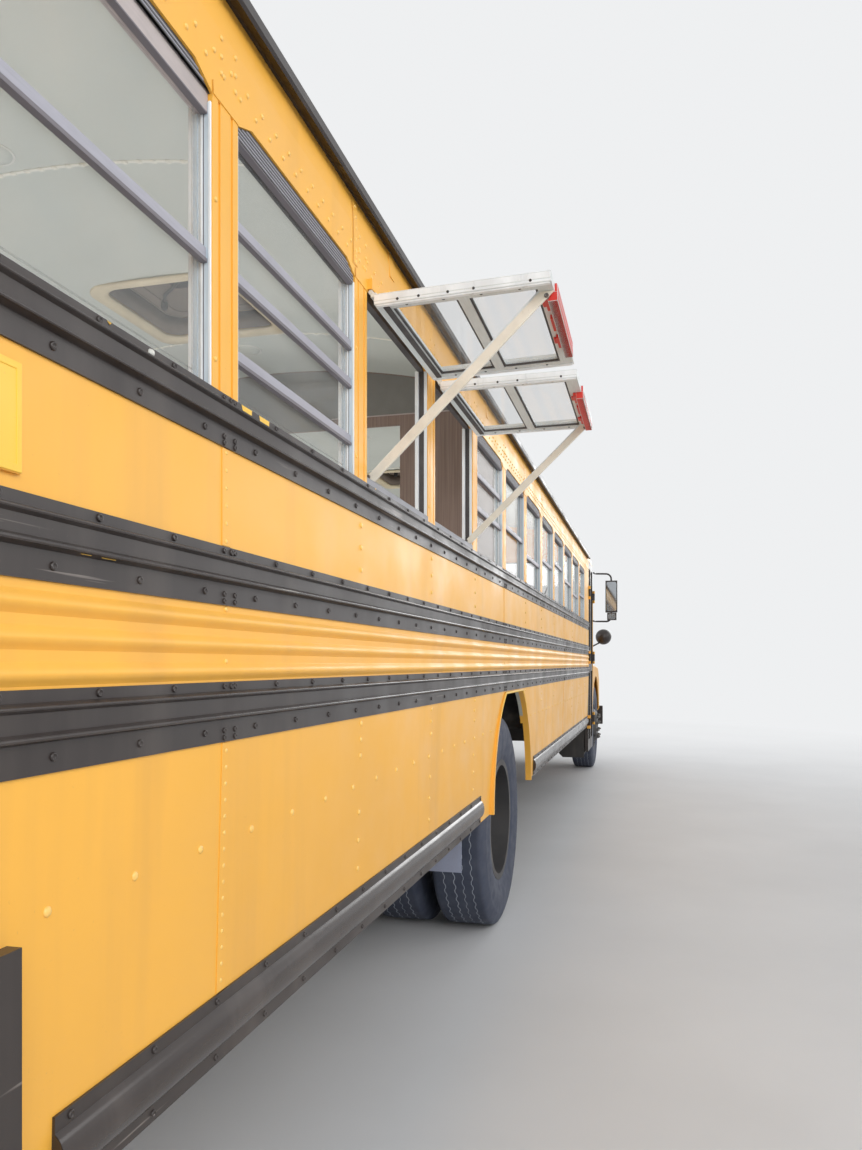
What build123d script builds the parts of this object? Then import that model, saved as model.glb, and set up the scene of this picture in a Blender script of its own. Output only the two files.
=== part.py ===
from build123d import *
import os
from math import atan2, cos, hypot, pi, radians, sin, sqrt, tan

os.makedirs("parts", exist_ok=True)

# All sizes are in millimetres. X points forward, Y to the bus's left and Z up from the ground.
# Stations along the bus are counted forward from the rear face of the body.

# Body, driving sizes
half_width = 1220
wall = 40
skirt_sheet = 14
skirt_bottom = 653
tuck_start = 1196
tuck_angle = 1.5
floor_top = 1030
floor_deck = 40
roof_spring = 2390
roof_top = 2900
corner_radius = 400
roof_shell = 36
lining_sheet = 6

# Window bays
bays = 12
pitch = 700
first_window = 168
window_width = 610
window_sill = 1782
window_top = 2290
header_dip = 23
header_chamfer = 55
push_out_bays = (2, 3)

# Stations of the main breaks
rear_cap_depth = 120
side_front = 8980
windshield_foot = 9760
rear_axle_x = 3920
wheelbase = 7010
nose_x = 11640
front_bumper_x = nose_x + 140
rear_bumper_reach = 75
bumper_wrap_front = 304

# Wheels
tyre_radius = 527.5
tyre_width = 279
bead_radius = 286
bead_width = 212
tread_width = 226
dual_spacing = 330
dual_centre = 865
front_track_half = 1025
kingpin_y = 860
wheel_height = tyre_radius

# Clearances
seat = 0.3
running = 0.05
door_gap = 5

# Wheel houses over the rear wheels
house_half = 640
house_inner = 500
house_top = 1215
house_sheet = 8

front_axle_x = rear_axle_x + wheelbase
overall_length = rear_bumper_reach + front_bumper_x
rear_face = rear_bumper_reach - overall_length / 2


def at(station):
    """Row-frame X of a station counted from the rear face."""
    return rear_face + station


def write(builder, node):
    builder.part.label = node
    export_step(builder.part, f"parts/{node}.step")


def slab(x, y, z, mode=Mode.ADD):
    """Box between two stations and two values each of Y and Z."""
    with Locations((at((x[0] + x[1]) / 2), (y[0] + y[1]) / 2, (z[0] + z[1]) / 2)):
        Box(x[1] - x[0], abs(y[1] - y[0]), z[1] - z[0], mode=mode)


def cross_face(points, station):
    """Closed outline of (Y, Z) points in the cross plane at a station."""
    with BuildSketch(Plane.YZ.offset(at(station))) as face:
        with BuildLine():
            Polyline(*points, close=True)
        make_face()
    return face.sketch


def side_faces(outlines, y=0):
    """Closed outlines of (station, Z) points in the long plane at Y, facing the right side."""
    with BuildSketch(Plane.XZ.offset(-y)) as faces:
        for points in outlines:
            with BuildLine():
                Polyline(*[(at(station), z) for station, z in points], close=True)
            make_face()
    return faces.sketch


def flipped(points, side):
    return [(side * y, z) for y, z in points]


corner_y = half_width - corner_radius
roof_rise = roof_top - roof_spring
crown_radius = (corner_y**2 + roof_rise**2 - corner_radius**2) / (2 * (roof_rise - corner_radius))
crown_z = roof_top - crown_radius
crown_angle = atan2(corner_y, roof_spring - crown_z)


def roof_height(y, inset=0):
    """Height of the crown above the centre third of the roof."""
    return crown_z + sqrt((crown_radius - inset) ** 2 - y**2)


def body_outline(inset, station, bottom):
    """Cross-section of the body: upright sides, two corner arcs and a crown arc."""
    half = half_width - inset
    corner = corner_radius - inset
    middle = (pi / 2 - crown_angle) / 2
    join = (corner_y + corner * sin(crown_angle), roof_spring + corner * cos(crown_angle))
    bend = (corner_y + corner * cos(middle), roof_spring + corner * sin(middle))
    with BuildSketch(Plane.YZ.offset(at(station))) as outline:
        with BuildLine():
            if bottom < roof_spring:
                Polyline((-half, roof_spring), (-half, bottom), (half, bottom), (half, roof_spring))
            else:
                Line((-half, roof_spring), (half, roof_spring))
            ThreePointArc((half, roof_spring), bend, join)
            ThreePointArc(join, (0, roof_top - inset), (-join[0], join[1]))
            ThreePointArc((-join[0], join[1]), (-bend[0], bend[1]), (-half, roof_spring))
        make_face()
    return outline.sketch


tuck_in = (tuck_start - skirt_bottom) * tan(radians(tuck_angle))


def tuck_wedges(x0, x1):
    """Removes the slivers outside the skirts, which lean in towards the ground."""
    for side in (1, -1):
        wedge = [
            (half_width, tuck_start),
            (half_width + wall, tuck_start),
            (half_width + wall, skirt_bottom - wall),
            (half_width - tuck_in, skirt_bottom - wall),
            (half_width - tuck_in, skirt_bottom),
        ]
        extrude(cross_face(flipped(wedge, side), x0), amount=x1 - x0, dir=(1, 0, 0), mode=Mode.SUBTRACT)


# Side walls: one extruded section with three stiffening ribs, then windows, posts and wheel arch

rib_heights = (1315, 1358, 1400)
rib_proud = 8
rib_half = 9
rib_flat = 3
arch_radius = 590
arch_top = 1190
arch_flange = 20
arch_flange_proud = 6
groove_width = 8
groove_depth = 3
groove_offset = 22
post_width = pitch - window_width
plate_length = 290
plate_front = 326
plate_bottom = 1543
plate_top = 1670
plate_proud = 6


def side_section():
    """Outer line from the skirt up with its ribs, then down the inner line."""
    points = [(half_width - tuck_in, skirt_bottom), (half_width, tuck_start)]
    for height in rib_heights:
        points += [
            (half_width, height - rib_half),
            (half_width + rib_proud, height - rib_flat),
            (half_width + rib_proud, height + rib_flat),
            (half_width, height + rib_half),
        ]
    points += [
        (half_width, roof_spring),
        (half_width - wall, roof_spring),
        (half_width - wall, floor_top - floor_deck),
        (half_width - skirt_sheet, floor_top - floor_deck),
        (half_width - tuck_in - skirt_sheet, skirt_bottom),
    ]
    return points


def bay_start(bay):
    return first_window + bay * pitch


def window_outline(bay, inset=0):
    """Window opening of a bay, whose header dips at both posts."""
    left = bay_start(bay) + inset
    right = bay_start(bay) + window_width - inset
    bottom = window_sill + inset
    top = window_top - inset
    dip = header_dip
    return [
        (left, bottom),
        (right, bottom),
        (right, top - dip),
        (right - header_chamfer, top),
        (left + header_chamfer, top),
        (left, top - dip),
    ]


# Push-out windows hang from a barrel below a strip on the header
pivot_out = 8
pivot_z = 2268
barrel = 6
strip_top = 2300
strip_proud = 14
strip_gap = 0.5

# Stop arm hinge on the left wall
stop_pivot_x = 8850
stop_standoff = 45
stop_low = 1535
stop_high = 1685
stop_ear = 20
stop_barrel = 9

for side, name in ((1, "left"), (-1, "right")):
    outer = side * half_width
    with BuildPart() as body_side:
        section = cross_face(flipped(side_section(), side), rear_cap_depth)
        extrude(section, amount=side_front - rear_cap_depth, dir=(1, 0, 0))
        openings = side_faces([window_outline(bay) for bay in range(bays)], side * (half_width + wall))
        extrude(openings, amount=3 * wall, dir=(0, -side, 0), mode=Mode.SUBTRACT)
        groove_stations = [
            bay_start(bay) + window_width + post_width / 2 + offset_x
            for bay in range(bays - 1)
            for offset_x in (-groove_offset, groove_offset)
        ]
        groove_height = window_top - header_dip - window_sill
        with Locations(
            *[(at(station), outer, window_sill + groove_height / 2) for station in groove_stations]
        ):
            Box(groove_width, 2 * groove_depth, groove_height, mode=Mode.SUBTRACT)
        with BuildSketch(Plane.XZ.offset(-outer)) as flange:
            with Locations((at(rear_axle_x), skirt_bottom)):
                Circle(arch_radius + arch_flange)
                Circle(arch_radius, mode=Mode.SUBTRACT)
            with Locations((at(rear_axle_x), (skirt_bottom + arch_top) / 2)):
                Rectangle(3 * arch_radius, arch_top - skirt_bottom, mode=Mode.INTERSECT)
        extrude(flange.sketch, amount=arch_flange_proud, dir=(0, side, 0))
        extrude(flange.sketch, amount=tuck_in + skirt_sheet, dir=(0, -side, 0))
        with BuildSketch(Plane.XZ.offset(-outer)) as arch:
            with Locations((at(rear_axle_x), skirt_bottom)):
                Circle(arch_radius)
            with Locations((at(rear_axle_x), arch_top - arch_radius)):
                Rectangle(3 * arch_radius, 2 * arch_radius, mode=Mode.INTERSECT)
        extrude(arch.sketch, amount=3 * wall, dir=(0, -side, 0), mode=Mode.SUBTRACT)
        extrude(arch.sketch, amount=wall, dir=(0, side, 0), mode=Mode.SUBTRACT)
        for bay in push_out_bays:
            slab(
                (bay_start(bay), bay_start(bay) + window_width),
                (outer, outer + side * strip_proud),
                (pivot_z + barrel + strip_gap, strip_top),
            )
        slab(
            (plate_front - plate_length + rear_cap_depth, plate_front),
            (outer, outer + side * plate_proud),
            (plate_bottom, plate_top),
        )
        if side > 0:
            slab(
                (stop_pivot_x - 2 * stop_barrel, stop_pivot_x + 2 * stop_barrel),
                (outer, outer + stop_standoff - 2 * stop_barrel),
                (stop_low, stop_high),
            )
            for low, high in ((stop_low, stop_low + stop_ear), (stop_high - stop_ear, stop_high)):
                slab(
                    (stop_pivot_x - stop_barrel, stop_pivot_x + stop_barrel),
                    (outer, outer + stop_standoff),
                    (low, high),
                )
                with Locations((at(stop_pivot_x), outer + stop_standoff, (low + high) / 2)):
                    Cylinder(stop_barrel, stop_ear)
    write(body_side, f"body_side_{name}")


# Black rub rails and gutters, one row each: bottom height, face height, rear end, style
rail_rows = (
    ("skirt", skirt_bottom, 117, 400, "bead"),
    ("floor", 1196, 101, rear_cap_depth, "hat"),
    ("seat", 1426, 99, rear_cap_depth, "hat"),
    ("window", 1693, 89, rear_cap_depth, "hat"),
)
rail_flange = 4
rail_face = 10
rail_ridge = 16
skirt_rail_proud = 18
skirt_rail_gap_rear = 3088
skirt_rail_gap_front = 4717
gutter_bottom = 2452
gutter_inner = 2464
gutter_top = 2476
gutter_proud = 26
gutter_lip = 5
gutter_rear = 60


def hat_points(bottom, height):
    """Two narrow ridges on a raised face between two flanges, offsets from the wall."""
    steps = (
        (0, 0),
        (rail_flange, 0),
        (rail_flange, 0.37),
        (rail_ridge, 0.41),
        (rail_ridge, 0.46),
        (rail_face, 0.50),
        (rail_face, 0.73),
        (rail_ridge, 0.77),
        (rail_ridge, 0.81),
        (rail_flange, 0.85),
        (rail_flange, 1),
        (0, 1),
    )
    return [(half_width + out, bottom + height * part) for out, part in steps]


def bead_points(bottom, height):
    """A broad rounded bead between two flanges, on the leaning skirt."""
    steps = (
        (0, 0),
        (rail_flange, 0),
        (rail_flange, 0.22),
        (0.7 * skirt_rail_proud, 0.3),
        (skirt_rail_proud, 0.42),
        (skirt_rail_proud, 0.6),
        (0.7 * skirt_rail_proud, 0.74),
        (rail_flange, 0.82),
        (rail_flange, 1),
        (0, 1),
    )
    lean = tan(radians(tuck_angle))
    return [
        (half_width - (tuck_start - bottom - height * part) * lean + out, bottom + height * part)
        for out, part in steps
    ]


gutter_points = [
    (half_width - 4 * gutter_lip, gutter_inner),
    (half_width, gutter_inner),
    (half_width + gutter_proud - gutter_lip, gutter_bottom),
    (half_width + gutter_proud, gutter_bottom + gutter_lip),
    (half_width + gutter_proud, gutter_top),
    (half_width + gutter_proud - gutter_lip, gutter_top),
    (half_width + gutter_proud - gutter_lip, gutter_bottom + 2 * gutter_lip),
    (half_width, gutter_inner + 2 * gutter_lip),
    (half_width - 4 * gutter_lip, gutter_inner + 2 * gutter_lip),
]

with BuildPart() as rub_rails:
    for side in (1, -1):
        for row, bottom, height, rear_end, style in rail_rows:
            points = bead_points(bottom, height) if style == "bead" else hat_points(bottom, height)
            spans = [(rear_end, side_front)]
            if style == "bead":
                spans = [(rear_end, skirt_rail_gap_rear), (skirt_rail_gap_front, side_front)]
            for start, end in spans:
                extrude(cross_face(flipped(points, side), start), amount=end - start, dir=(1, 0, 0))
        extrude(
            cross_face(flipped(gutter_points, side), gutter_rear),
            amount=side_front - gutter_rear,
            dir=(1, 0, 0),
        )
    extrude(
        body_outline(0, gutter_rear, roof_spring),
        amount=side_front - gutter_rear,
        dir=(1, 0, 0),
        mode=Mode.SUBTRACT,
    )
write(rub_rails, "rub_rails")


# Roof shell with two hatch curbs, and the ceiling lining below it
hatch_stations = (2850, 6350)
hatch_hole = 540
curb_wall = 25
curb_height = 45
lid_gap = 10
lid_wall = 8
lid_rise = 40
lid_skirt = 25

curb_half = hatch_hole / 2 + curb_wall
curb_top = roof_top + curb_height
curb_bottom = roof_height(curb_half, roof_shell)
lid_half = curb_half + lid_gap + lid_wall

with BuildPart() as roof:
    length = side_front - rear_cap_depth
    extrude(body_outline(0, rear_cap_depth, roof_spring), amount=length, dir=(1, 0, 0))
    for station in hatch_stations:
        slab(
            (station - curb_half, station + curb_half),
            (-curb_half, curb_half),
            (curb_bottom, curb_top),
        )
    extrude(
        body_outline(roof_shell, rear_cap_depth, roof_spring - wall),
        amount=length,
        dir=(1, 0, 0),
        mode=Mode.SUBTRACT,
    )
    for station in hatch_stations:
        slab(
            (station - hatch_hole / 2, station + hatch_hole / 2),
            (-hatch_hole / 2, hatch_hole / 2),
            (roof_spring, curb_top + wall),
            Mode.SUBTRACT,
        )
        front = station + lid_half
        for y in (-lid_half / 2, lid_half / 2):
            slab(
                (station + curb_half, front + 2 * barrel),
                (y - 60, y - 30.5),
                (roof_height(0) - 10, roof_height(0) + barrel + 4),
            )
write(roof, "roof")

with BuildPart() as lining:
    extrude(body_outline(roof_shell, rear_cap_depth, roof_spring), amount=length, dir=(1, 0, 0))
    extrude(
        body_outline(roof_shell + lining_sheet, rear_cap_depth, roof_spring - wall),
        amount=length,
        dir=(1, 0, 0),
        mode=Mode.SUBTRACT,
    )
    for station in hatch_stations:
        slab(
            (station - hatch_hole / 2, station + hatch_hole / 2),
            (-hatch_hole / 2, hatch_hole / 2),
            (roof_spring, curb_top + wall),
            Mode.SUBTRACT,
        )
write(lining, "ceiling_lining")

for number, station in enumerate(hatch_stations, 1):
    with BuildPart() as lid:
        slab(
            (station - lid_half, station + lid_half),
            (-lid_half, lid_half),
            (curb_top - lid_skirt, curb_top + lid_rise),
        )
        fillet(lid.edges().group_by(Axis.Z)[-1], lid_rise / 2)
        inner = lid_half - lid_wall
        slab(
            (station - inner, station + inner),
            (-inner, inner),
            (curb_top - lid_skirt - 1, curb_top + seat),
            Mode.SUBTRACT,
        )
        front = station + lid_half
        for y in (-lid_half / 2, lid_half / 2):
            with Locations(Plane.XZ.offset(-(y - 30)) * Pos(at(front + barrel), roof_height(0) + barrel + 2)):
                Cylinder(barrel, 60, align=(Align.CENTER, Align.CENTER, Align.MAX))
            slab(
                (front - lid_wall, front + barrel),
                (y - 30, y + 30),
                (roof_height(0) + barrel + 2, curb_top),
            )
    write(lid, f"roof_hatch_lid_{number}")


# Rear cap: rear wall with rounded edges, the emergency door opening and two windows
rear_edge_radius = 50
rear_door_half = 460
rear_door_bottom = floor_top
rear_door_top = 2560
rear_window = (580, 1080, 1800, 2260)
rear_skirt_bottom = skirt_bottom

with BuildPart() as rear_cap:
    extrude(body_outline(0, 0, rear_skirt_bottom), amount=rear_cap_depth, dir=(1, 0, 0))
    rim = rear_cap.edges().group_by(Axis.X)[0].filter_by(lambda e: e.center().Z > rear_skirt_bottom + 1)
    fillet(rim, rear_edge_radius)
    extrude(
        body_outline(wall, wall, floor_top - floor_deck),
        amount=rear_cap_depth,
        dir=(1, 0, 0),
        mode=Mode.SUBTRACT,
    )
    inner = half_width - tuck_in - skirt_sheet
    slab(
        (skirt_sheet, rear_cap_depth + 1),
        (-inner, inner),
        (rear_skirt_bottom - 1, floor_top - floor_deck + 1),
        Mode.SUBTRACT,
    )
    slab(
        (-1, wall + 1),
        (-rear_door_half - door_gap, rear_door_half + door_gap),
        (rear_door_bottom, rear_door_top + door_gap),
        Mode.SUBTRACT,
    )
    for side in (1, -1):
        slab(
            (-1, wall + 1),
            (side * rear_window[0], side * rear_window[1]),
            (rear_window[2], rear_window[3]),
            Mode.SUBTRACT,
        )
    tuck_wedges(-1, rear_cap_depth + 1)
    for z in (1300, 1800, 2300):
        hinge_y = -rear_door_half
        with Locations((at(-12), hinge_y, z + 70.5), (at(-12), hinge_y, z - 70.5)):
            Cylinder(10, 60)
        for middle in (z + 70.5, z - 70.5):
            slab((-12, 1), (hinge_y - 30, hinge_y), (middle - 30, middle + 30))
write(rear_cap, "rear_cap")

rear_leaf = (2, 38)
rear_door_glass = ((1180, 1560), (1800, 2440))
rear_glass_half = 360

with BuildPart() as rear_door:
    slab(
        rear_leaf,
        (-rear_door_half, rear_door_half),
        (rear_door_bottom + door_gap, rear_door_top),
    )
    for low, high in rear_door_glass:
        slab((0, wall), (-rear_glass_half, rear_glass_half), (low, high), Mode.SUBTRACT)
    for z in (1300, 1800, 2300):
        with Locations((at(-12), -rear_door_half, z)):
            Cylinder(10, 80)
        slab((-12, rear_leaf[0] + 1), (-rear_door_half, -rear_door_half + 40), (z - 40, z + 40))
    slab((-28, rear_leaf[0]), (rear_door_half - 80, rear_door_half - 50), (1600, 1720))
write(rear_door, "rear_door")

with BuildPart() as rear_door_panes:
    for low, high in rear_door_glass:
        slab((16, 22), (-rear_glass_half, rear_glass_half), (low, high))
write(rear_door_panes, "rear_door_glass")


# Cab shell ahead of the bays: sloping windshield, front cap, entrance and driver's window
cab_corner = 70
windshield_bottom = 1700
windshield_top = 2560
windshield_lean = 130
cap_start = 9300
door_rear = 9030
door_front = 9690
door_sill = 360
door_head = 2450
driver_window = (9080, 9560, 1700, 2440)
pane_inner = 30
tunnel_half = 460
pane_outer = 1060
entrance_hinges = (700, 1400, 2100)
entrance_pivot = half_width + 12
hinge_radius = 10
hinge_knuckle = 80
ear_height = 30


def cab_block(inset, rear, bottom):
    """Solid of the cab, inset from its outer face, from a rear station and a bottom height."""
    foot = windshield_foot - inset
    top = roof_top + wall
    brow = foot - windshield_lean
    with BuildPart() as block:
        extrude(body_outline(inset, rear, bottom), amount=foot - rear, dir=(1, 0, 0))
        with BuildSketch(Plane.XZ.offset(-2 * half_width)) as profile:
            with BuildLine():
                Polyline(
                    (at(brow), windshield_top),
                    (at(foot), windshield_bottom),
                    (at(foot), bottom - 1),
                    (at(rear) - 1, bottom - 1),
                    (at(rear) - 1, top),
                    (at(cap_start), top),
                    (at(cap_start), roof_top - inset),
                )
                TangentArc(
                    (at(cap_start), roof_top - inset), (at(brow), windshield_top), tangent=(1, 0)
                )
            make_face()
        extrude(profile.sketch, amount=4 * half_width, dir=(0, -1, 0), mode=Mode.INTERSECT)
        with BuildSketch(Plane.XY.offset(bottom - 1)) as plan:
            with BuildLine():
                half = half_width - inset + 1
                round_off = cab_corner - inset / 2
                FilletPolyline(
                    (at(rear) - 1, half),
                    (at(foot), half),
                    (at(foot), -half),
                    (at(rear) - 1, -half),
                    radius=round_off,
                )
                Line((at(rear) - 1, half), (at(rear) - 1, -half))
            make_face()
        extrude(plan.sketch, amount=top, dir=(0, 0, 1), mode=Mode.INTERSECT)
    return block.part


cab_outside = cab_block(0, side_front, skirt_bottom)
cab_inside = cab_block(wall, side_front - 1, skirt_bottom - 1)

with BuildPart() as cab_shell:
    add(cab_outside)
    add(cab_inside, mode=Mode.SUBTRACT)
    for side in (1, -1):
        slab(
            (cap_start, windshield_foot + 1),
            (side * pane_inner, side * pane_outer),
            (windshield_bottom + 20, windshield_top - 40),
            Mode.SUBTRACT,
        )
    slab(
        (door_rear, door_front),
        (-half_width - 1, -half_width + 2 * wall),
        (skirt_bottom - 1, door_head),
        Mode.SUBTRACT,
    )
    slab(
        driver_window[0:2],
        (half_width + 1, half_width - 2 * wall),
        driver_window[2:4],
        Mode.SUBTRACT,
    )
    slab(
        (windshield_foot - 2 * wall, windshield_foot + 1),
        (-tunnel_half, tunnel_half),
        (skirt_bottom - 1, floor_top - floor_deck),
        Mode.SUBTRACT,
    )
    tuck_wedges(side_front - 1, windshield_foot + 1)
    ear_offset = (hinge_knuckle + ear_height) / 2 + strip_gap
    for jamb, way in ((door_rear, 1), (door_front, -1)):
        jamb_side = sorted((jamb, jamb - way * 30))
        for z in entrance_hinges:
            for middle in (z - ear_offset, z + ear_offset):
                ear = (middle - ear_height / 2, middle + ear_height / 2)
                slab(jamb_side, (-entrance_pivot, -half_width + tuck_in + 1), ear)
                with Locations((at(jamb + way * door_gap), -entrance_pivot, middle)):
                    Cylinder(hinge_radius, ear_height)
write(cab_shell, "cab_shell")


# Entrance: step well, two leaves that swing out from their jambs
step_sheet = 10
step_depth = 230
step_heights = (door_sill, 590, 810)
step_outer = half_width - 50

with BuildPart() as step_well:
    tread_span = (door_rear + step_sheet, door_front - step_sheet)
    for index, height in enumerate(step_heights):
        outer = -step_outer + index * step_depth
        riser_top = (step_heights + (floor_top,))[index + 1]
        slab(tread_span, (outer, outer + step_depth + step_sheet), (height - step_sheet, height))
        riser = (outer + step_depth, outer + step_depth + step_sheet)
        slab(tread_span, riser, (height - step_sheet, riser_top))
    cheek = [(-step_outer, step_heights[0] - 50), (-step_outer, floor_top - floor_deck)]
    cheek += [(-step_outer + 3 * step_depth + step_sheet, floor_top - floor_deck)]
    cheek += [(-step_outer + 3 * step_depth + step_sheet, step_heights[2] - step_sheet)]
    cheek += [(-step_outer + 2 * step_depth, step_heights[1] - 40)]
    cheek += [(-step_outer + step_depth, step_heights[0] - 50)]
    for start in (door_rear, door_front - step_sheet):
        extrude(cross_face(cheek, start), amount=step_sheet, dir=(1, 0, 0))
write(step_well, "step_well")

leaf_bottom = door_sill + 20
leaf_top = door_head - door_gap
leaf_depth = (5, 40)
leaf_swing = 5
leaf_width = (door_front - door_rear) / 2 - 1.5 * door_gap - leaf_swing
leaf_frame = 45

for name, jamb, way in (("rear", door_rear, 1), ("front", door_front, -1)):
    near = jamb + way * door_gap
    far = near + way * leaf_width
    low, high = min(near, far), max(near, far)
    with BuildPart() as leaf:
        slab(
            (low, high),
            (-half_width + leaf_depth[0], -half_width + leaf_depth[1]),
            (leaf_bottom, leaf_top),
        )
        for bottom, top in ((leaf_bottom + 120, 1250), (1330, leaf_top - 70)):
            slab(
                (low + leaf_frame, high - leaf_frame),
                (-half_width, -half_width + wall + 1),
                (bottom, top),
                Mode.SUBTRACT,
            )
        for z in entrance_hinges:
            with Locations((at(near), -entrance_pivot, z)):
                Cylinder(hinge_radius, hinge_knuckle)
            slab(
                (min(near, near + way * 30), max(near, near + way * 30)),
                (-entrance_pivot, -half_width + leaf_depth[0] + 1),
                (z - hinge_knuckle / 2, z + hinge_knuckle / 2),
            )
    write(leaf, f"entrance_leaf_{name}")
    with BuildPart() as leaf_glass:
        for bottom, top in ((leaf_bottom + 120, 1250), (1330, leaf_top - 70)):
            slab(
                (low + leaf_frame, high - leaf_frame),
                (-half_width + 18, -half_width + 24),
                (bottom, top),
            )
    write(leaf_glass, f"entrance_glass_{name}")


# Window frames of the fixed bays, with their sash rails, and all fixed glass
frame_bar = 24
frame_depth = (8, 34)
rail_depth = (8, 20)
glass_depth = (20, 25)
rail_height = 28
sill_strip = 18

# One row a bay: heights of the sash rails' lower edges
sash_rails = (
    (1986,),
    (1856, 1994, 2086),
    (),
    (),
    (1960, 2100),
    (1990,),
    (1930,),
    (1990,),
    (2050,),
    (1990,),
    (1940,),
    (1990,),
)


def depth_span(side, depth):
    return (side * (half_width - depth[0]), side * (half_width - depth[1]))


fixed_bays = [bay for bay in range(bays) if bay not in push_out_bays]

with BuildPart() as window_frames:
    for side in (1, -1):
        near, far = depth_span(side, frame_depth)
        rings = side_faces([window_outline(bay) for bay in fixed_bays], near)
        rings -= side_faces([window_outline(bay, frame_bar) for bay in fixed_bays], near)
        extrude(rings, amount=abs(near - far), dir=(0, -side, 0))
        for bay in range(bays):
            if bay in push_out_bays:
                slab(
                    (bay_start(bay), bay_start(bay) + window_width),
                    (side * half_width, side * (half_width - wall)),
                    (window_sill, window_sill + sill_strip),
                )
                continue
            for bottom in sash_rails[bay]:
                slab(
                    (bay_start(bay) + frame_bar, bay_start(bay) + window_width - frame_bar),
                    depth_span(side, rail_depth),
                    (bottom, bottom + rail_height),
                )
write(window_frames, "window_frames")

with BuildPart() as body_glass:
    for side in (1, -1):
        near, far = depth_span(side, glass_depth)
        panes = side_faces([window_outline(bay, frame_bar) for bay in fixed_bays], near)
        extrude(panes, amount=abs(near - far), dir=(0, -side, 0))
        slab((16, 22), (side * rear_window[0], side * rear_window[1]), rear_window[2:4])
        glass_back = windshield_foot - 25
        lean = windshield_lean / (windshield_top - windshield_bottom)
        low, high = windshield_bottom + 20, windshield_top - 40
        pane = [
            (glass_back - (low - windshield_bottom) * lean, low),
            (glass_back + 8 - (low - windshield_bottom) * lean, low),
            (glass_back + 8 - (high - windshield_bottom) * lean, high),
            (glass_back - (high - windshield_bottom) * lean, high),
        ]
        extrude(
            side_faces([pane], side * pane_outer),
            amount=pane_outer - pane_inner,
            dir=(0, -side, 0),
        )
    slab(driver_window[0:2], (half_width - 18, half_width - 24), driver_window[2:4])
write(body_glass, "body_glass")


# Push-out windows, hinged at the top and held open by a prop each
sash_width = 600
sash_start = 8
sash_height = 447
sash_depth = (8, 33)
sash_bar = 38
latch_length = 410
latch_height = 22
latch_lap = 16
latch_reach = 8
prop_thick = 8
prop_cut = 34
prop_sunk = 6

# One row a window: bay, opening angle from closed, shifts of the prop and of the latch
push_out_rows = ((2, 91.5, -243, -30), (3, 90.5, 262, 60))


def sash_plane(side, bay, angle):
    """Plane of an open sash: X forward, Y from the hinge to the free edge, Z outwards when shut."""
    turn = radians(angle)
    down_out = (0, side * sin(turn), -cos(turn))
    hinge = (at(bay_start(bay) + window_width / 2), side * (half_width + pivot_out), pivot_z)
    normal = (0, side * cos(turn), sin(turn))
    x_dir = (1, 0, 0)
    plane = Plane(origin=hinge, x_dir=x_dir, z_dir=normal)
    facing = plane.y_dir.Y * down_out[1] + plane.y_dir.Z * down_out[2]
    return plane, (1 if facing > 0 else -1)


for side, name in ((1, "left"), (-1, "right")):
    for number, (bay, angle, prop_shift, latch_shift) in enumerate(push_out_rows, 1):
        plane, way = sash_plane(side, bay, angle)
        middle = way * (sash_start + sash_height / 2)
        with BuildPart() as sash:
            with BuildSketch(plane.offset(-sash_depth[1])):
                with Locations((0, middle)):
                    Rectangle(sash_width, sash_height)
                    Rectangle(sash_width - 2 * sash_bar, sash_height - 2 * sash_bar, mode=Mode.SUBTRACT)
                with Locations((0, middle)):
                    Rectangle(sash_width - 2 * sash_bar, rail_height)
            extrude(amount=sash_depth[1] - sash_depth[0])
            with BuildSketch(plane.offset(-sash_depth[0] - barrel)):
                with Locations((0, way * (sash_start + barrel) / 2)):
                    Rectangle(sash_width, sash_start + barrel)
            extrude(amount=sash_depth[0] + barrel / 2)
            with Locations(plane * Rot(0, 90, 0)):
                Cylinder(barrel, sash_width)
            free_end = sash_start + sash_height
            with BuildSketch(plane.offset(-sash_depth[1] - latch_height)):
                with Locations((latch_shift, way * (free_end + (latch_reach - latch_lap) / 2))):
                    Rectangle(latch_length, latch_lap + latch_reach)
            extrude(amount=latch_height)
            with BuildSketch(plane.offset(-sash_depth[1])):
                with Locations((latch_shift, way * (free_end + latch_reach / 2))):
                    Rectangle(latch_length, latch_reach)
            extrude(amount=sash_depth[1] - 1.5 * sash_depth[0])
            turn = radians(angle)
            prop = [
                (side * (half_width - wall / 2 + y), window_sill + sill_strip + seat)
                for y in (wall / 2 - prop_cut, wall / 2)
            ]
            for edge in (free_end, free_end - prop_cut):
                out = pivot_out + edge * sin(turn)
                drop = edge * cos(turn) + (sash_depth[1] - prop_sunk) * sin(turn)
                prop.append((side * (half_width + out), pivot_z - drop))
            prop_station = bay_start(bay) + window_width / 2 + prop_shift
            extrude(
                cross_face(prop, prop_station - prop_thick / 2),
                amount=prop_thick,
                dir=(1, 0, 0),
            )
        write(sash, f"push_out_frame_{name}_{number}")
        with BuildPart() as pane:
            with BuildSketch(plane.offset(-glass_depth[1])):
                with Locations((0, middle + way * (rail_height + sash_height - 2 * sash_bar) / 4)):
                    Rectangle(sash_width - 2 * sash_bar, (sash_height - 2 * sash_bar - rail_height) / 2)
                with Locations((0, middle - way * (rail_height + sash_height - 2 * sash_bar) / 4)):
                    Rectangle(sash_width - 2 * sash_bar, (sash_height - 2 * sash_bar - rail_height) / 2)
            extrude(amount=glass_depth[1] - glass_depth[0])
        write(pane, f"push_out_glass_{name}_{number}")


# Plywood partition across the cabin, with a doorway
partition_x = 3710
partition_sheet = 18
doorway = (-670, 130)
doorway_top = 2540

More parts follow.
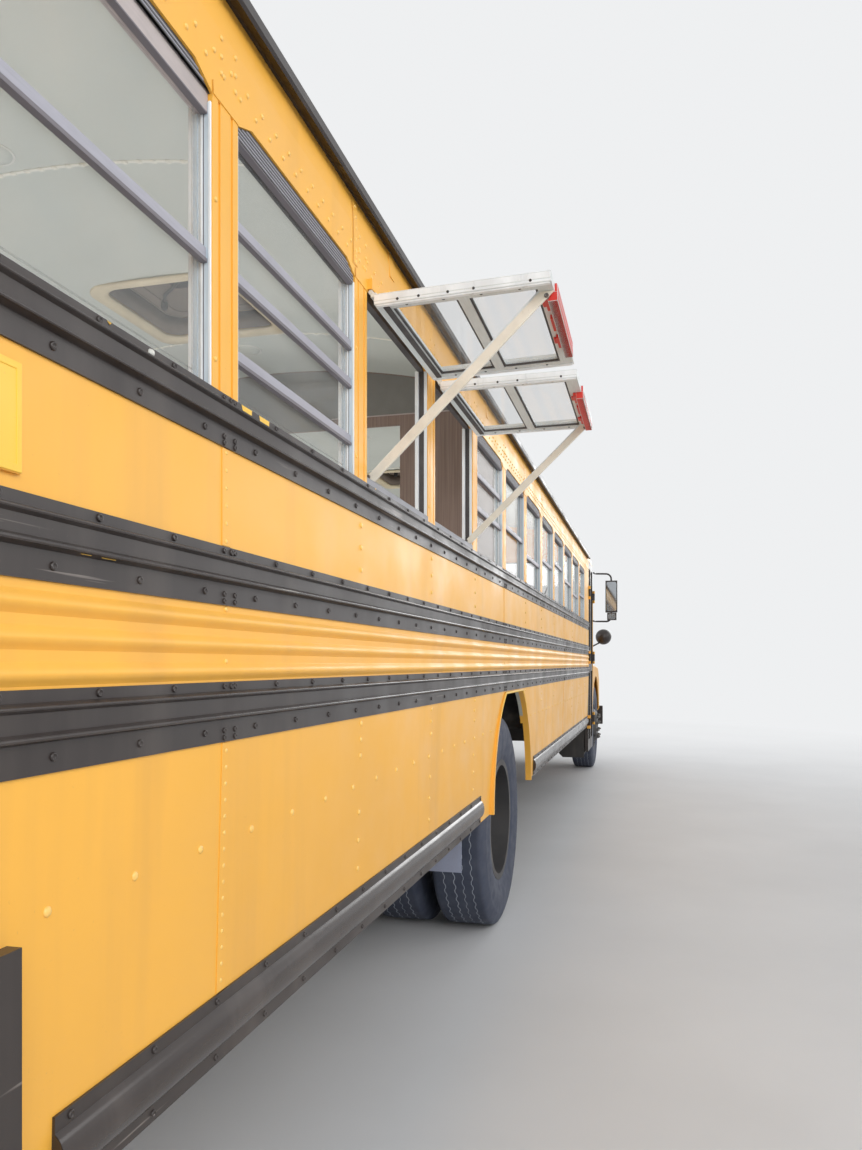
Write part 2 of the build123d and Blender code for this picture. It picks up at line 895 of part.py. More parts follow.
with BuildPart() as partition:
    inner = half_width - wall
    slab((partition_x, partition_x + partition_sheet), (-inner, inner), (floor_top, roof_spring))
    ceiling = body_outline(roof_shell + lining_sheet, partition_x, roof_spring)
    extrude(ceiling, amount=partition_sheet, dir=(1, 0, 0))
    through = (partition_x - 1, partition_x + partition_sheet + 1)
    slab(through, doorway, (floor_top - 1, doorway_top), Mode.SUBTRACT)
    for side in (1, -1):
        slab(
            through,
            (side * house_inner, side * inner),
            (floor_top - 1, house_top),
            Mode.SUBTRACT,
        )
write(partition, "plywood_partition")


# Floor deck in three lengths with cross sills, and a wheel house over each pair of rear wheels
rail_top = 940
sill_width = 50
deck_joint = 1
stair_inner = -step_outer + 3 * step_depth
house_rear = rear_axle_x - house_half
house_front = rear_axle_x + house_half

with BuildPart() as floor:
    inner = half_width - wall
    deck = (floor_top - floor_deck, floor_top)
    slab((wall, house_rear - deck_joint), (-inner, inner), deck)
    slab((house_front + deck_joint, side_front), (-inner, inner), deck)
    slab((side_front, windshield_foot - wall - cab_corner), (stair_inner + step_sheet, inner), deck)
    slab((side_front, door_rear), (-inner, inner), deck)
    sill_stations = [rear_cap_depth + pitch * (index + 0.5) for index in range(bays)]
    sill_stations = [x for x in sill_stations if abs(x - rear_axle_x) > house_half + sill_width]
    sill_height = floor_top - floor_deck - rail_top
    with Locations(*[(at(x), 0, rail_top + sill_height / 2) for x in sill_stations]):
        Box(sill_width, 2 * (inner - wall), sill_height)
write(floor, "cabin_floor")

with BuildPart() as houses:
    slab((house_rear, house_front), (-house_inner - house_sheet, house_inner + house_sheet), deck)
    for station in (house_rear + 2 * sill_width, house_front - 3 * sill_width):
        slab(
            (station, station + sill_width),
            (-house_inner, house_inner),
            (rail_top, floor_top - floor_deck),
        )
    for side in (1, -1):
        slab((house_rear, house_front), (side * house_inner, side * inner), (deck[0], house_top))
        slab(
            (house_rear + house_sheet, house_front - house_sheet),
            (side * (house_inner + house_sheet), side * (inner + 1)),
            (deck[0] - 1, house_top - house_sheet),
            Mode.SUBTRACT,
        )
write(houses, "wheel_houses")


# Chassis frame: two channel rails, cross-members between them, and the brackets on them
rail_outer = 432
rail_inner = 356
rail_bottom = 710
rail_sheet = 8
rail_rear = 100
rail_front = nose_x - 40
hinge_arm = (480, 510)
member_stations = (300, 1500, 2700, 4950, 6300, 7700, 9100, rail_front - 100)
member_half = 45
member_height = 110
bumper_bottom = 500
bumper_top = 750
bumper_depth = 80
hood_pivot_x = nose_x + 60
hood_pivot_z = 800
hood_pivot_y = 500
hood_pin = 14
spring_reach = 600
spring_width = 76
spring_eye = 24
hanger_half = 40
tow_radius = 28
tow_half = 55
tow_plate = 20
tow_drop = 95
tow_top = 35

spring_y = (rail_inner + rail_outer) / 2 + 6

with BuildPart() as chassis:
    for side in (1, -1):
        channel = [
            (rail_inner, rail_bottom),
            (rail_outer, rail_bottom),
            (rail_outer, rail_top),
            (rail_inner, rail_top),
            (rail_inner, rail_top - rail_sheet),
            (rail_outer - rail_sheet, rail_top - rail_sheet),
            (rail_outer - rail_sheet, rail_bottom + rail_sheet),
            (rail_inner, rail_bottom + rail_sheet),
        ]
        extrude(
            cross_face(flipped(channel, side), rail_rear),
            amount=rail_front - rail_rear,
            dir=(1, 0, 0),
        )
write(chassis, "chassis_frame")

with BuildPart() as members:
    member_y = rail_outer - rail_sheet
    with Locations(*[(at(x), 0, rail_top - rail_sheet - member_height / 2) for x in member_stations]):
        Box(2 * member_half, 2 * member_y, member_height)
write(members, "cross_members")

with BuildPart() as brackets:
    hanger_spots = [
        (at(axle + way * spring_reach), side * spring_y, rail_bottom - hanger_half / 2)
        for axle in (rear_axle_x, front_axle_x)
        for way in (-1, 1)
        for side in (1, -1)
    ]
    with Locations(*hanger_spots):
        Box(2 * hanger_half, spring_width, hanger_half)
    for side in (1, -1):
        slab(
            (rail_front - 160, hood_pivot_x + 2 * hood_pin),
            (side * (hood_pivot_y - 50), side * (hood_pivot_y - 30)),
            (bumper_top + door_gap, hood_pivot_z + 2 * hood_pin),
        )
        slab(
            (rail_front - 160, rail_front - 140),
            (side * rail_outer, side * (hood_pivot_y - 30)),
            (bumper_top + door_gap, rail_top - 60),
        )
        with Locations(Plane.XZ * Pos(at(hood_pivot_x), hood_pivot_z, -side * (hood_pivot_y - 5))):
            Cylinder(hood_pin, 70)
        for hook in (rail_rear, rail_front + 30):
            slab(
                (hook - tow_half, hook + tow_half),
                (side * rail_outer, side * (rail_outer + tow_plate)),
                (rail_bottom - tow_drop - tow_half, rail_bottom + tow_top),
            )
            with Locations(Plane.XZ * Pos(at(hook), rail_bottom - tow_drop, -side * rail_outer)):
                Cylinder(tow_radius, 4 * tow_plate, mode=Mode.SUBTRACT)
write(brackets, "frame_brackets")


# Driveline: engine as one block and gearbox, on two bars between the rails
engine = (10150, 11250, 330, 640, 1330)
gearbox_end = 9350
driveline_bars = (9560, 10700)
shaft_radius = 50
shaft_height = 760

with BuildPart() as driveline:
    slab(engine[0:2], (-engine[2], engine[2]), engine[3:5])
    with Locations(Plane.YZ * Pos(0, shaft_height, at(gearbox_end))):
        Cylinder(190, engine[0] - gearbox_end, align=(Align.CENTER, Align.CENTER, Align.MIN))
    for station in driveline_bars:
        slab((station, station + 60), (-rail_outer + rail_sheet, rail_outer - rail_sheet), (740, 800))
write(driveline, "engine_and_gearbox")


# Axles with their leaf springs
pack_height = {"front": 50, "rear": 60}
spring_drop = 20
spindle_radius = {"front": 40, "rear": 50}
kingpin_radius = 22
boss_radius = 45
boss_half = 50
beam_half_height = 45
beam_half_depth = 45
rear_tube = 75
differential = 200


def leaf_packs(axle_x, height):
    """A pair of bowed leaf packs from hanger to hanger, seated on the axle."""
    low = wheel_height + 75
    top = rail_bottom - hanger_half
    for side in (1, -1):
        with BuildSketch(Plane.XZ.offset(-side * (spring_y + spring_width / 2))) as pack:
            with BuildLine():
                ends = (at(axle_x - spring_reach), at(axle_x + spring_reach))
                ThreePointArc((ends[0], top), (at(axle_x), low + height), (ends[1], top))
                Line((ends[1], top), (ends[1] + hanger_half, top))
                Line((ends[1] + hanger_half, top), (ends[1] + hanger_half, top - height / 3))
                ThreePointArc(
                    (ends[1] + hanger_half, top - height / 3),
                    (at(axle_x), low),
                    (ends[0] - hanger_half, top - height / 3),
                )
                Line((ends[0] - hanger_half, top - height / 3), (ends[0] - hanger_half, top))
                Line((ends[0] - hanger_half, top), (ends[0], top))
            make_face()
        extrude(pack.sketch, amount=spring_width, dir=(0, -side, 0))


with BuildPart() as front_axle:
    drop = [
        (-kingpin_y, wheel_height + beam_half_height),
        (-kingpin_y, wheel_height - beam_half_height),
        (-kingpin_y + 120, wheel_height - beam_half_height),
        (-kingpin_y + 260, wheel_height - 3 * beam_half_height),
        (kingpin_y - 260, wheel_height - 3 * beam_half_height),
        (kingpin_y - 120, wheel_height - beam_half_height),
        (kingpin_y, wheel_height - beam_half_height),
        (kingpin_y, wheel_height + beam_half_height),
        (kingpin_y - 180, wheel_height + beam_half_height),
        (kingpin_y - 320, wheel_height - beam_half_height),
        (-kingpin_y + 320, wheel_height - beam_half_height),
        (-kingpin_y + 180, wheel_height + beam_half_height),
    ]
    extrude(
        cross_face(drop, front_axle_x - beam_half_depth),
        amount=2 * beam_half_depth,
        dir=(1, 0, 0),
    )
    for side in (1, -1):
        with Locations((at(front_axle_x), side * kingpin_y, wheel_height)):
            Cylinder(boss_radius, 2 * boss_half)
        with Locations((at(front_axle_x), side * kingpin_y, wheel_height)):
            Cylinder(kingpin_radius + running, 4 * boss_half, mode=Mode.SUBTRACT)
        slab(
            (front_axle_x - 90, front_axle_x + 90),
            (side * (spring_y - spring_width / 2), side * (spring_y + spring_width / 2)),
            (wheel_height - 1.5 * beam_half_height, wheel_height + 80),
        )
    leaf_packs(front_axle_x, pack_height["front"])
write(front_axle, "front_axle")

with BuildPart() as rear_axle:
    tube_half = house_inner + 10
    with Locations(Plane.XZ * Pos(at(rear_axle_x), wheel_height, 0)):
        Cylinder(rear_tube, 2 * tube_half)
        Cylinder(spindle_radius["rear"], 2 * (dual_centre + 160))
    with Locations((at(rear_axle_x), 0, wheel_height)):
        Sphere(differential)
    for side in (1, -1):
        slab(
            (rear_axle_x - 110, rear_axle_x + 110),
            (side * (spring_y - spring_width / 2), side * (spring_y + spring_width / 2)),
            (wheel_height - 90, wheel_height + 90),
        )
    leaf_packs(rear_axle_x, pack_height["rear"])
    nose = rear_axle_x + differential
    rise = shaft_height - wheel_height
    run = gearbox_end - nose
    shaft = Plane(
        origin=(at(nose - 20), 0, wheel_height),
        x_dir=(0, 1, 0),
        z_dir=(run, 0, rise),
    )
    with Locations(shaft):
        Cylinder(
            shaft_radius,
            hypot(run, rise) + 15,
            align=(Align.CENTER, Align.CENTER, Align.MIN),
        )
write(rear_axle, "rear_axle")


# Wheels: knuckles, tyres and rims
rim_radius = bead_radius - seat
rim_sheet = 10
flange_radius = 306
flange_sheet = 8
flange_step = 6
disc_sheet = 12
disc_offset = dual_spacing / 2
hub_radius = 110
hand_holes = 5
hand_hole_radius = 32
hand_hole_circle = 195
bulge_radius = 420


def wheel_plane(axle_x, y):
    """Plane at a wheel's centre whose Z axis points to the bus's left."""
    return Plane(origin=(at(axle_x), y, wheel_height), x_dir=(1, 0, 0), z_dir=(0, 1, 0))


def tyre(axle_x, y):
    plane = wheel_plane(axle_x, y)
    with BuildPart() as ring:
        with BuildSketch(Plane.XZ) as profile:
            with BuildLine():
                Polyline(
                    (bead_radius, -bead_width / 2),
                    (bulge_radius, -tyre_width / 2),
                    (tyre_radius, -tread_width / 2),
                    (tyre_radius, tread_width / 2),
                    (bulge_radius, tyre_width / 2),
                    (bead_radius, bead_width / 2),
                    close=True,
                )
            make_face()
        revolve(axis=Axis.Z)
    return plane.location * ring.part


def rim(axle_x, y, disc_side, hub_in, hub_out, bore):
    """Rim with its disc on one side; the hub runs from hub_in to hub_out past the disc."""
    plane = wheel_plane(axle_x, y)
    half = bead_width / 2
    disc = disc_side * disc_offset
    with BuildPart() as wheel:
        with BuildSketch(Plane.XZ):
            with BuildLine():
                Polyline(
                    (rim_radius - rim_sheet, -half - flange_step - flange_sheet),
                    (flange_radius, -half - flange_step - flange_sheet),
                    (flange_radius, -half - flange_step),
                    (rim_radius, -half - flange_step),
                    (rim_radius, half + flange_step),
                    (flange_radius, half + flange_step),
                    (flange_radius, half + flange_step + flange_sheet),
                    (rim_radius - rim_sheet, half + flange_step + flange_sheet),
                    close=True,
                )
            make_face()
        revolve(axis=Axis.Z)
        near = disc_side * half / 3
        with BuildSketch(Plane.XZ):
            with BuildLine():
                Polyline(
                    (bore, disc - disc_side * disc_sheet),
                    (bore, disc),
                    (hub_radius + 60, disc),
                    (rim_radius - rim_sheet / 2, near + disc_side * 2 * disc_sheet),
                    (rim_radius - rim_sheet / 2, near),
                    (hub_radius + 60 - disc_sheet, disc - disc_side * disc_sheet),
                    close=True,
                )
            make_face()
        revolve(axis=Axis.Z)
        with PolarLocations(hand_hole_circle + 25, hand_holes):
            Cylinder(hand_hole_radius, 4 * disc_offset, mode=Mode.SUBTRACT)
        with BuildSketch(Plane.XY.offset(min(hub_in, hub_out))):
            Circle(hub_radius)
            Circle(bore, mode=Mode.SUBTRACT)
        extrude(amount=abs(hub_out - hub_in))
    return plane.location * wheel.part


for side, name in ((1, "left"), (-1, "right")):
    front_y = side * front_track_half
    twin_y = [side * (dual_centre + way * dual_spacing / 2) for way in (-1, 1)]
    front_ring = tyre(front_axle_x, front_y)
    with BuildPart() as front_tyre:
        add(front_ring)
    write(front_tyre, f"front_tyre_{name}")
    hub_inner = kingpin_y + boss_radius + 35 - front_track_half
    front_wheel = rim(
        front_axle_x,
        front_y,
        side,
        side * hub_inner,
        side * disc_offset,
        spindle_radius["front"] + running,
    )
    with BuildPart() as front_rim:
        add(front_wheel)
    write(front_rim, f"front_rim_{name}")
    twin_rings = [tyre(rear_axle_x, y) for y in twin_y]
    with BuildPart() as rear_tyres:
        add(twin_rings)
    write(rear_tyres, f"rear_tyres_{name}")
    twin_wheels = [
        rim(
            rear_axle_x,
            y,
            -side * way,
            side * (-way * dual_spacing / 2 - 110),
            side * (-way * dual_spacing / 2 + 150),
            spindle_radius["rear"] + running,
        )
        for y, way in zip(twin_y, (-1, 1))
    ]
    with BuildPart() as rear_rims:
        add(twin_wheels)
    write(rear_rims, f"rear_rims_{name}")
    with BuildPart() as knuckle:
        ear_outer = kingpin_y + boss_radius + 25
        for way in (-1, 1):
            low = wheel_height + way * (boss_half + strip_gap)
            high = low + way * 30
            slab(
                (front_axle_x - boss_radius, front_axle_x + boss_radius),
                (side * (kingpin_y - boss_radius), side * ear_outer),
                (min(low, high), max(low, high)),
            )
        with Locations((at(front_axle_x), side * kingpin_y, wheel_height)):
            Cylinder(kingpin_radius, 2 * (boss_half + 30))
        slab(
            (front_axle_x - boss_radius, front_axle_x + boss_radius),
            (side * (kingpin_y + boss_radius + 6), side * ear_outer),
            (wheel_height - boss_half - 30, wheel_height + boss_half + 30),
        )
        with Locations(wheel_plane(front_axle_x, side * ear_outer)):
            Cylinder(
                spindle_radius["front"],
                front_track_half + disc_offset - 10 - ear_outer,
                align=(Align.CENTER, Align.CENTER, Align.MIN if side > 0 else Align.MAX),
            )
    write(knuckle, f"knuckle_{name}")


# Stop arm: a blank octagon on a hinged tab
stop_radius = 225
stop_thick = 8
stop_reach = 270

with BuildPart() as stop_arm:
    arm_y = half_width + stop_standoff
    with BuildSketch(Plane.XZ.offset(-arm_y - stop_thick / 2)):
        with Locations((at(stop_pivot_x - stop_reach), (stop_low + stop_high) / 2)):
            RegularPolygon(stop_radius, 8, rotation=22.5)
        with Locations((at(stop_pivot_x - stop_reach / 2), (stop_low + stop_high) / 2)):
            Rectangle(stop_reach, 60)
    extrude(amount=stop_thick)
    with Locations((at(stop_pivot_x), arm_y, (stop_low + stop_high) / 2)):
        Cylinder(stop_barrel, stop_high - stop_low - 2 * stop_ear - 2 * strip_gap)
write(stop_arm, "stop_arm")


# Tilting hood with its fenders, hinged ahead of the nose
hood_rear = 9790
hood_sheet = 12
hood_base = 1100
hood_corner = 140
nose_base = 840
nose_half = 620
fender_inner = 600
fender_outer = 1172
fender_edge = 45
wheel_opening = 640
hood_sections = ((hood_rear, 790, 1640), (10800, 745, 1570), (nose_x, 690, 1430))
fender_bottom = 690
fender_points = (
    (hood_rear, fender_bottom),
    (nose_x, fender_bottom),
    (nose_x, 1110),
    (nose_x - 220, 1290),
    (10400, 1335),
    (hood_rear, 1270),
)
grille_half = 500
grille_bottom = 900
grille_top = 1330


def hood_section(station, half, top, inset):
    with BuildSketch(Plane.YZ.offset(at(station))) as section:
        with BuildLine():
            Polyline(
                (-half + inset, hood_base - inset),
                (half - inset, hood_base - inset),
                (half - inset, top - inset),
                (-half + inset, top - inset),
                close=True,
            )
        make_face()
        fillet(section.vertices().group_by(Axis.Z)[-1], hood_corner - inset)
    return section.sketch


def fender_profile(inset, y):
    with BuildSketch(Plane.XZ.offset(-y)) as profile:
        with BuildLine():
            FilletPolyline(*[(at(x), z) for x, z in fender_points], radius=60, close=True)
        make_face()
        if inset:
            offset(amount=-inset, mode=Mode.REPLACE)
    return profile.sketch


def fender_block(side, inset):
    """Fender as a solid, inset from its outer face, with a rounded outer edge."""
    profile = fender_profile(inset, side * (fender_outer - inset))
    with BuildPart() as block:
        extrude(profile, amount=fender_outer - fender_inner, dir=(0, -side, 0))
        outer_face = block.faces().sort_by(Axis.Y)[-1 if side > 0 else 0]
        fillet(outer_face.edges(), fender_edge - inset)
    return block.part


def fender(side):
    """Hollow fender, open below and towards the engine, with its wheel opening."""
    solid = fender_block(side, 0)
    hollow = fender_block(side, hood_sheet)
    with BuildPart() as shell:
        add(solid)
        add(hollow, mode=Mode.SUBTRACT)
        slab(
            (hood_rear + hood_sheet, nose_x - hood_sheet),
            (side * (fender_inner - 1), side * (fender_outer - fender_edge)),
            (fender_bottom - 1, fender_bottom + hood_sheet + 1),
            Mode.SUBTRACT,
        )
        with Locations(wheel_plane(front_axle_x, side * fender_outer)):
            Cylinder(wheel_opening, 4 * fender_edge, mode=Mode.SUBTRACT)
    return shell.part


def hood_shell():
    with BuildPart() as shell:
        loft([hood_section(x, half, top, 0) for x, half, top in hood_sections], ruled=True)
        loft(
            [hood_section(x, half, top, hood_sheet) for x, half, top in hood_sections],
            ruled=True,
            mode=Mode.SUBTRACT,
        )
    return shell.part


fenders = [fender(side) for side in (1, -1)]
hood_skin = hood_shell()

with BuildPart() as hood:
    add(fenders)
    add(hood_skin)
    nose_span = (nose_x - hood_sheet, nose_x)
    extrude(
        hood_section(nose_span[0], hood_sections[-1][1], hood_sections[-1][2], 0),
        amount=hood_sheet,
        dir=(1, 0, 0),
    )
    slab(nose_span, (-nose_half, nose_half), (nose_base, hood_base + 1))
    slab(
        (nose_span[0] - 1, nose_span[1] + 1),
        (-grille_half, grille_half),
        (grille_bottom, grille_top),
        Mode.SUBTRACT,
    )
    for side in (1, -1):
        slab(
            (nose_span[0], nose_span[1]),
            (side * hinge_arm[0], side * hinge_arm[1]),
            (hood_pivot_z - 1.6 * hood_pin, nose_base + 1),
        )
        slab(
            (nose_span[0], hood_pivot_x + 1.6 * hood_pin),
            (side * hinge_arm[0], side * hinge_arm[1]),
            (hood_pivot_z - 1.6 * hood_pin, hood_pivot_z + 1.6 * hood_pin),
        )
        with Locations(Plane.XZ * Pos(at(hood_pivot_x), hood_pivot_z, -side * hood_pivot_y)):
            Cylinder(hood_pin + running, 80, mode=Mode.SUBTRACT)
write(hood, "tilt_hood")

grille_bars = 9
grille_frame = 25
grille_depth = 20

with BuildPart() as grille:
    with BuildSketch(Plane.YZ.offset(at(nose_x - hood_sheet))):
        with Locations((0, (grille_bottom + grille_top) / 2)):
            Rectangle(2 * grille_half, grille_top - grille_bottom)
            Rectangle(
                2 * (grille_half - grille_frame),
                grille_top - grille_bottom - 2 * grille_frame,
                mode=Mode.SUBTRACT,
            )
            step = (grille_top - grille_bottom) / (grille_bars + 1)
            with GridLocations(0, step, 1, grille_bars):
                Rectangle(2 * grille_half, step / 4)
    extrude(amount=grille_depth)
write(grille, "grille")

lamp_y = 890
lamp_z = 930
lamp_radius = 95
lamp_depth = 22

with BuildPart() as front_lamps:
    for side in (1, -1):
        with Locations(Plane.YZ * Pos(side * lamp_y, lamp_z, at(nose_x))):
            Cylinder(lamp_radius, lamp_depth, align=(Align.CENTER, Align.CENTER, Align.MIN))
        slab(
            (nose_x, nose_x + lamp_depth),
            (side * (lamp_y + 120), side * (lamp_y + 200)),
            (lamp_z - 60, lamp_z + 60),
        )
write(front_lamps, "front_lamps")


# Bumpers
rear_bumper_y = half_width + 25
rear_bumper_corner = 120
rear_bumper_bottom = 670
rear_bumper_top = 1012
bumper_sheet = 10

with BuildPart() as bumpers:
    wrap = bumper_wrap_front + rear_bumper_reach
    with BuildSketch(Plane.XY.offset(rear_bumper_bottom)) as plan:
        for inset in (0, bumper_sheet):
            with Locations((at(-rear_bumper_reach + wrap + inset), 0)):
                RectangleRounded(
                    2 * wrap,
                    2 * (rear_bumper_y - inset),
                    rear_bumper_corner - inset,
                    mode=Mode.SUBTRACT if inset else Mode.ADD,
                )
        with Locations((at(bumper_wrap_front + wrap), 0)):
            Rectangle(2 * wrap, 3 * half_width, mode=Mode.SUBTRACT)
    extrude(plan.sketch, amount=rear_bumper_top - rear_bumper_bottom)
    with BuildSketch(Plane.XY.offset(rear_bumper_top - bumper_sheet)) as flange:
        with Locations((at(-rear_bumper_reach + wrap), 0)):
            RectangleRounded(2 * wrap, 2 * rear_bumper_y, rear_bumper_corner)
        with Locations((at(bumper_wrap_front + wrap), 0)):
            Rectangle(2 * wrap, 3 * half_width, mode=Mode.SUBTRACT)
        with Locations((at(wrap), 0)):
            Rectangle(2 * wrap + 2 * door_gap, 2 * half_width + 2 * door_gap, mode=Mode.SUBTRACT)
    extrude(flange.sketch, amount=bumper_sheet)
    for side in (1, -1):
        slab(
            (-rear_bumper_reach + bumper_sheet, 0),
            (side * rail_inner, side * rail_outer),
            (rail_bottom, rail_top),
        )
        slab(
            (rail_front, front_bumper_x - bumper_depth),
            (side * rail_inner, side * (rail_outer - tow_plate)),
            (rail_bottom, bumper_top),
        )
    front = (front_bumper_x - bumper_depth, front_bumper_x)
    slab(front, (-half_width + 10, half_width - 10), (bumper_bottom, bumper_top))
    slab(
        (front[0] - 1, front[1] - bumper_sheet),
        (-half_width, half_width),
        (bumper_bottom + bumper_sheet, bumper_top - bumper_sheet),
        Mode.SUBTRACT,
    )
    slab(
        (front[0], front[1]),
        (-rail_outer, rail_outer),
        (rail_bottom, bumper_top),
    )
write(bumpers, "bumpers")


# Mirrors: tube loops on the cab corners with a flat and a round glass head, and fender mirrors
arm_radius = 10
arm_top = 2380
arm_bottom = 1824
mirror_station = 9850
mirror_head = (1355, 1490, 1930, 2300)
mirror_low_head = (1375, 1480, 1840, 1925)

with BuildPart() as mirrors:
    for side in (1, -1):
        points = [
            (at(9680), side * (half_width + arm_radius), arm_top),
            (at(9780), side * (half_width + arm_radius + 8), arm_top),
            (at(mirror_station), side * 1420, arm_top),
            (at(mirror_station), side * 1420, arm_bottom),
            (at(9780), side * (half_width + arm_radius + 8), arm_bottom),
            (at(9680), side * (half_width + arm_radius), arm_bottom),
        ]
        with BuildLine() as arm:
            FilletPolyline(*points, radius=60)
        with BuildSketch(arm.line ^ 0) as tube:
            Circle(arm_radius)
        sweep(tube.sketch, path=arm.line)
        slab(
            (mirror_station - 30, mirror_station + 25),
            (side * mirror_head[0], side * mirror_head[1]),
            mirror_head[2:4],
        )
        slab(
            (mirror_station - 30, mirror_station + 20),
            (side * mirror_low_head[0], side * mirror_low_head[1]),
            mirror_low_head[2:4],
        )
write(mirrors, "mirrors")

# Fender mirrors: foot station and offset, head station, offset, height and radius
cross_foot = (nose_x - 340, 1050)
cross_head = (nose_x - 160, 1237, 1695)
cross_radius = 105

with BuildPart() as cross_mirrors:
    for side in (1, -1):
        foot = (at(cross_foot[0]), side * cross_foot[1])
        head = (at(cross_head[0]), side * cross_head[1], cross_head[2])
        with Locations(head):
            Sphere(cross_radius)
        slab(
            (cross_head[0] + cross_radius / 3, cross_head[0] + 2 * cross_radius),
            (head[1] - cross_radius, head[1] + cross_radius),
            (head[2] - cross_radius, head[2] + cross_radius),
            Mode.SUBTRACT,
        )
        with BuildLine() as arm:
            FilletPolyline(
                (foot[0], foot[1], hood_sections[0][2] - 350),
                (foot[0], foot[1], head[2] - 1.5 * cross_radius),
                (head[0], head[1], head[2] - cross_radius / 2),
                head,
                radius=arm_radius * 2,
            )
        with BuildSketch(arm.line ^ 0) as tube:
            Circle(arm_radius)
        sweep(tube.sketch, path=arm.line)
    add(hood.part, mode=Mode.SUBTRACT)
write(cross_mirrors, "cross_view_mirrors")


# Roof and tail lamps, one row each: end, distance off the centre line, height, radius
lamp_rows = (
    ("front", 560, 2660, 85),
    ("front", 800, 2660, 85),
    ("front", 0, 2815, 35),
    ("front", 170, 2810, 35),
    ("front", 920, 2700, 35),
    ("rear", 600, 2640, 85),
    ("rear", 830, 2640, 85),
    ("rear", 0, 2810, 35),
    ("rear", 170, 2805, 35),
    ("rear", 960, 2640, 35),
    ("rear", 1020, 1440, 90),
    ("rear", 1020, 1640, 60),
)
lamp_proud = 32

brow = windshield_foot - windshield_lean
cap_run = brow - cap_start
cap_rise = roof_top - windshield_top
cap_radius = (cap_run**2 + cap_rise**2) / (2 * cap_rise)

with BuildPart() as body_lamps:
    for end, offset_y, height, radius in lamp_rows:
        near = -lamp_proud
        depth = lamp_proud
        if end == "front":
            near = cap_start
            depth = sqrt(cap_radius**2 - (height - roof_top + cap_radius) ** 2) + lamp_proud
        for side in (1, -1) if offset_y else (1,):
            with Locations(Plane.YZ * Pos(side * offset_y, height, at(near))):
                Cylinder(radius, depth, align=(Align.CENTER, Align.CENTER, Align.MIN))
    add(cab_outside, mode=Mode.SUBTRACT)
write(body_lamps, "body_lamps")


# Driver's place: seat, dash, steering column and wheel
driver_y = 560
seat_station = 8980

with BuildPart() as driver_seat:
    slab((seat_station + 60, seat_station + 360), (driver_y - 150, driver_y + 150), (floor_top, 1330))
    slab((seat_station, seat_station + 480), (driver_y - 250, driver_y + 250), (1330, 1450))
    slab((seat_station - 60, seat_station + 60), (driver_y - 240, driver_y + 240), (1400, 2080))
    fillet(driver_seat.edges().filter_by(Axis.X).group_by(Axis.Z)[-1], 60)
write(driver_seat, "driver_seat")

with BuildPart() as controls:
    slab((9560, windshield_foot - wall), (-380, 1110), (1480, 1690))
    fillet(controls.edges().filter_by(Axis.Y).group_by(Axis.X)[0], 40)
    column = Plane(origin=(at(9620), driver_y, 1560), x_dir=(0, 1, 0), z_dir=(-1, 0, 0.9))
    with Locations(column):
        Cylinder(30, 260, align=(Align.CENTER, Align.CENTER, Align.MIN))
    with Locations(column.offset(250)):
        Torus(225, 15)
        Box(460, 40, 16)
write(controls, "driver_controls")


# Mud flaps, fuel tank and exhaust
with BuildPart() as mud_flaps:
    for side in (1, -1):
        slab((3250, 3258), (side * 500, side * 1090), (400, floor_top - floor_deck))
write(mud_flaps, "mud_flaps")

with BuildPart() as fuel_tank:
    slab((6750, 7900), (-1130, -rail_outer), (680, rail_top - 10))
    fillet(fuel_tank.edges().filter_by(Axis.X), 50)
write(fuel_tank, "fuel_tank")

pipe_radius = 45
with BuildPart() as exhaust:
    with Locations(Plane.YZ * Pos(620, 800, at(7400))):
        Cylinder(110, 1100, align=(Align.CENTER, Align.CENTER, Align.MIN))
    tail = [
        (at(7450), 620, 800),
        (at(5200), 620, 800),
        (at(4950), 800, 600),
        (at(4950), 1205, 600),
    ]
    head = [
        (at(8450), 620, 800),
        (at(8850), 620, 800),
        (at(9150), 620, 645),
        (at(9500), 270, 645),
        (at(9800), 270, 690),
        (at(engine[0]), 270, 690),
    ]
    for station in (5700, 7900):
        slab((station, station + 40), (rail_outer, 620), (790, 810))
    for points in (tail, head):
        with BuildLine() as run:
            FilletPolyline(*points, radius=90)
        with BuildSketch(run.line ^ 0) as pipe:
            Circle(pipe_radius)
        sweep(pipe.sketch, path=run.line)
write(exhaust, "exhaust")
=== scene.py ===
import math
import random
from itertools import product

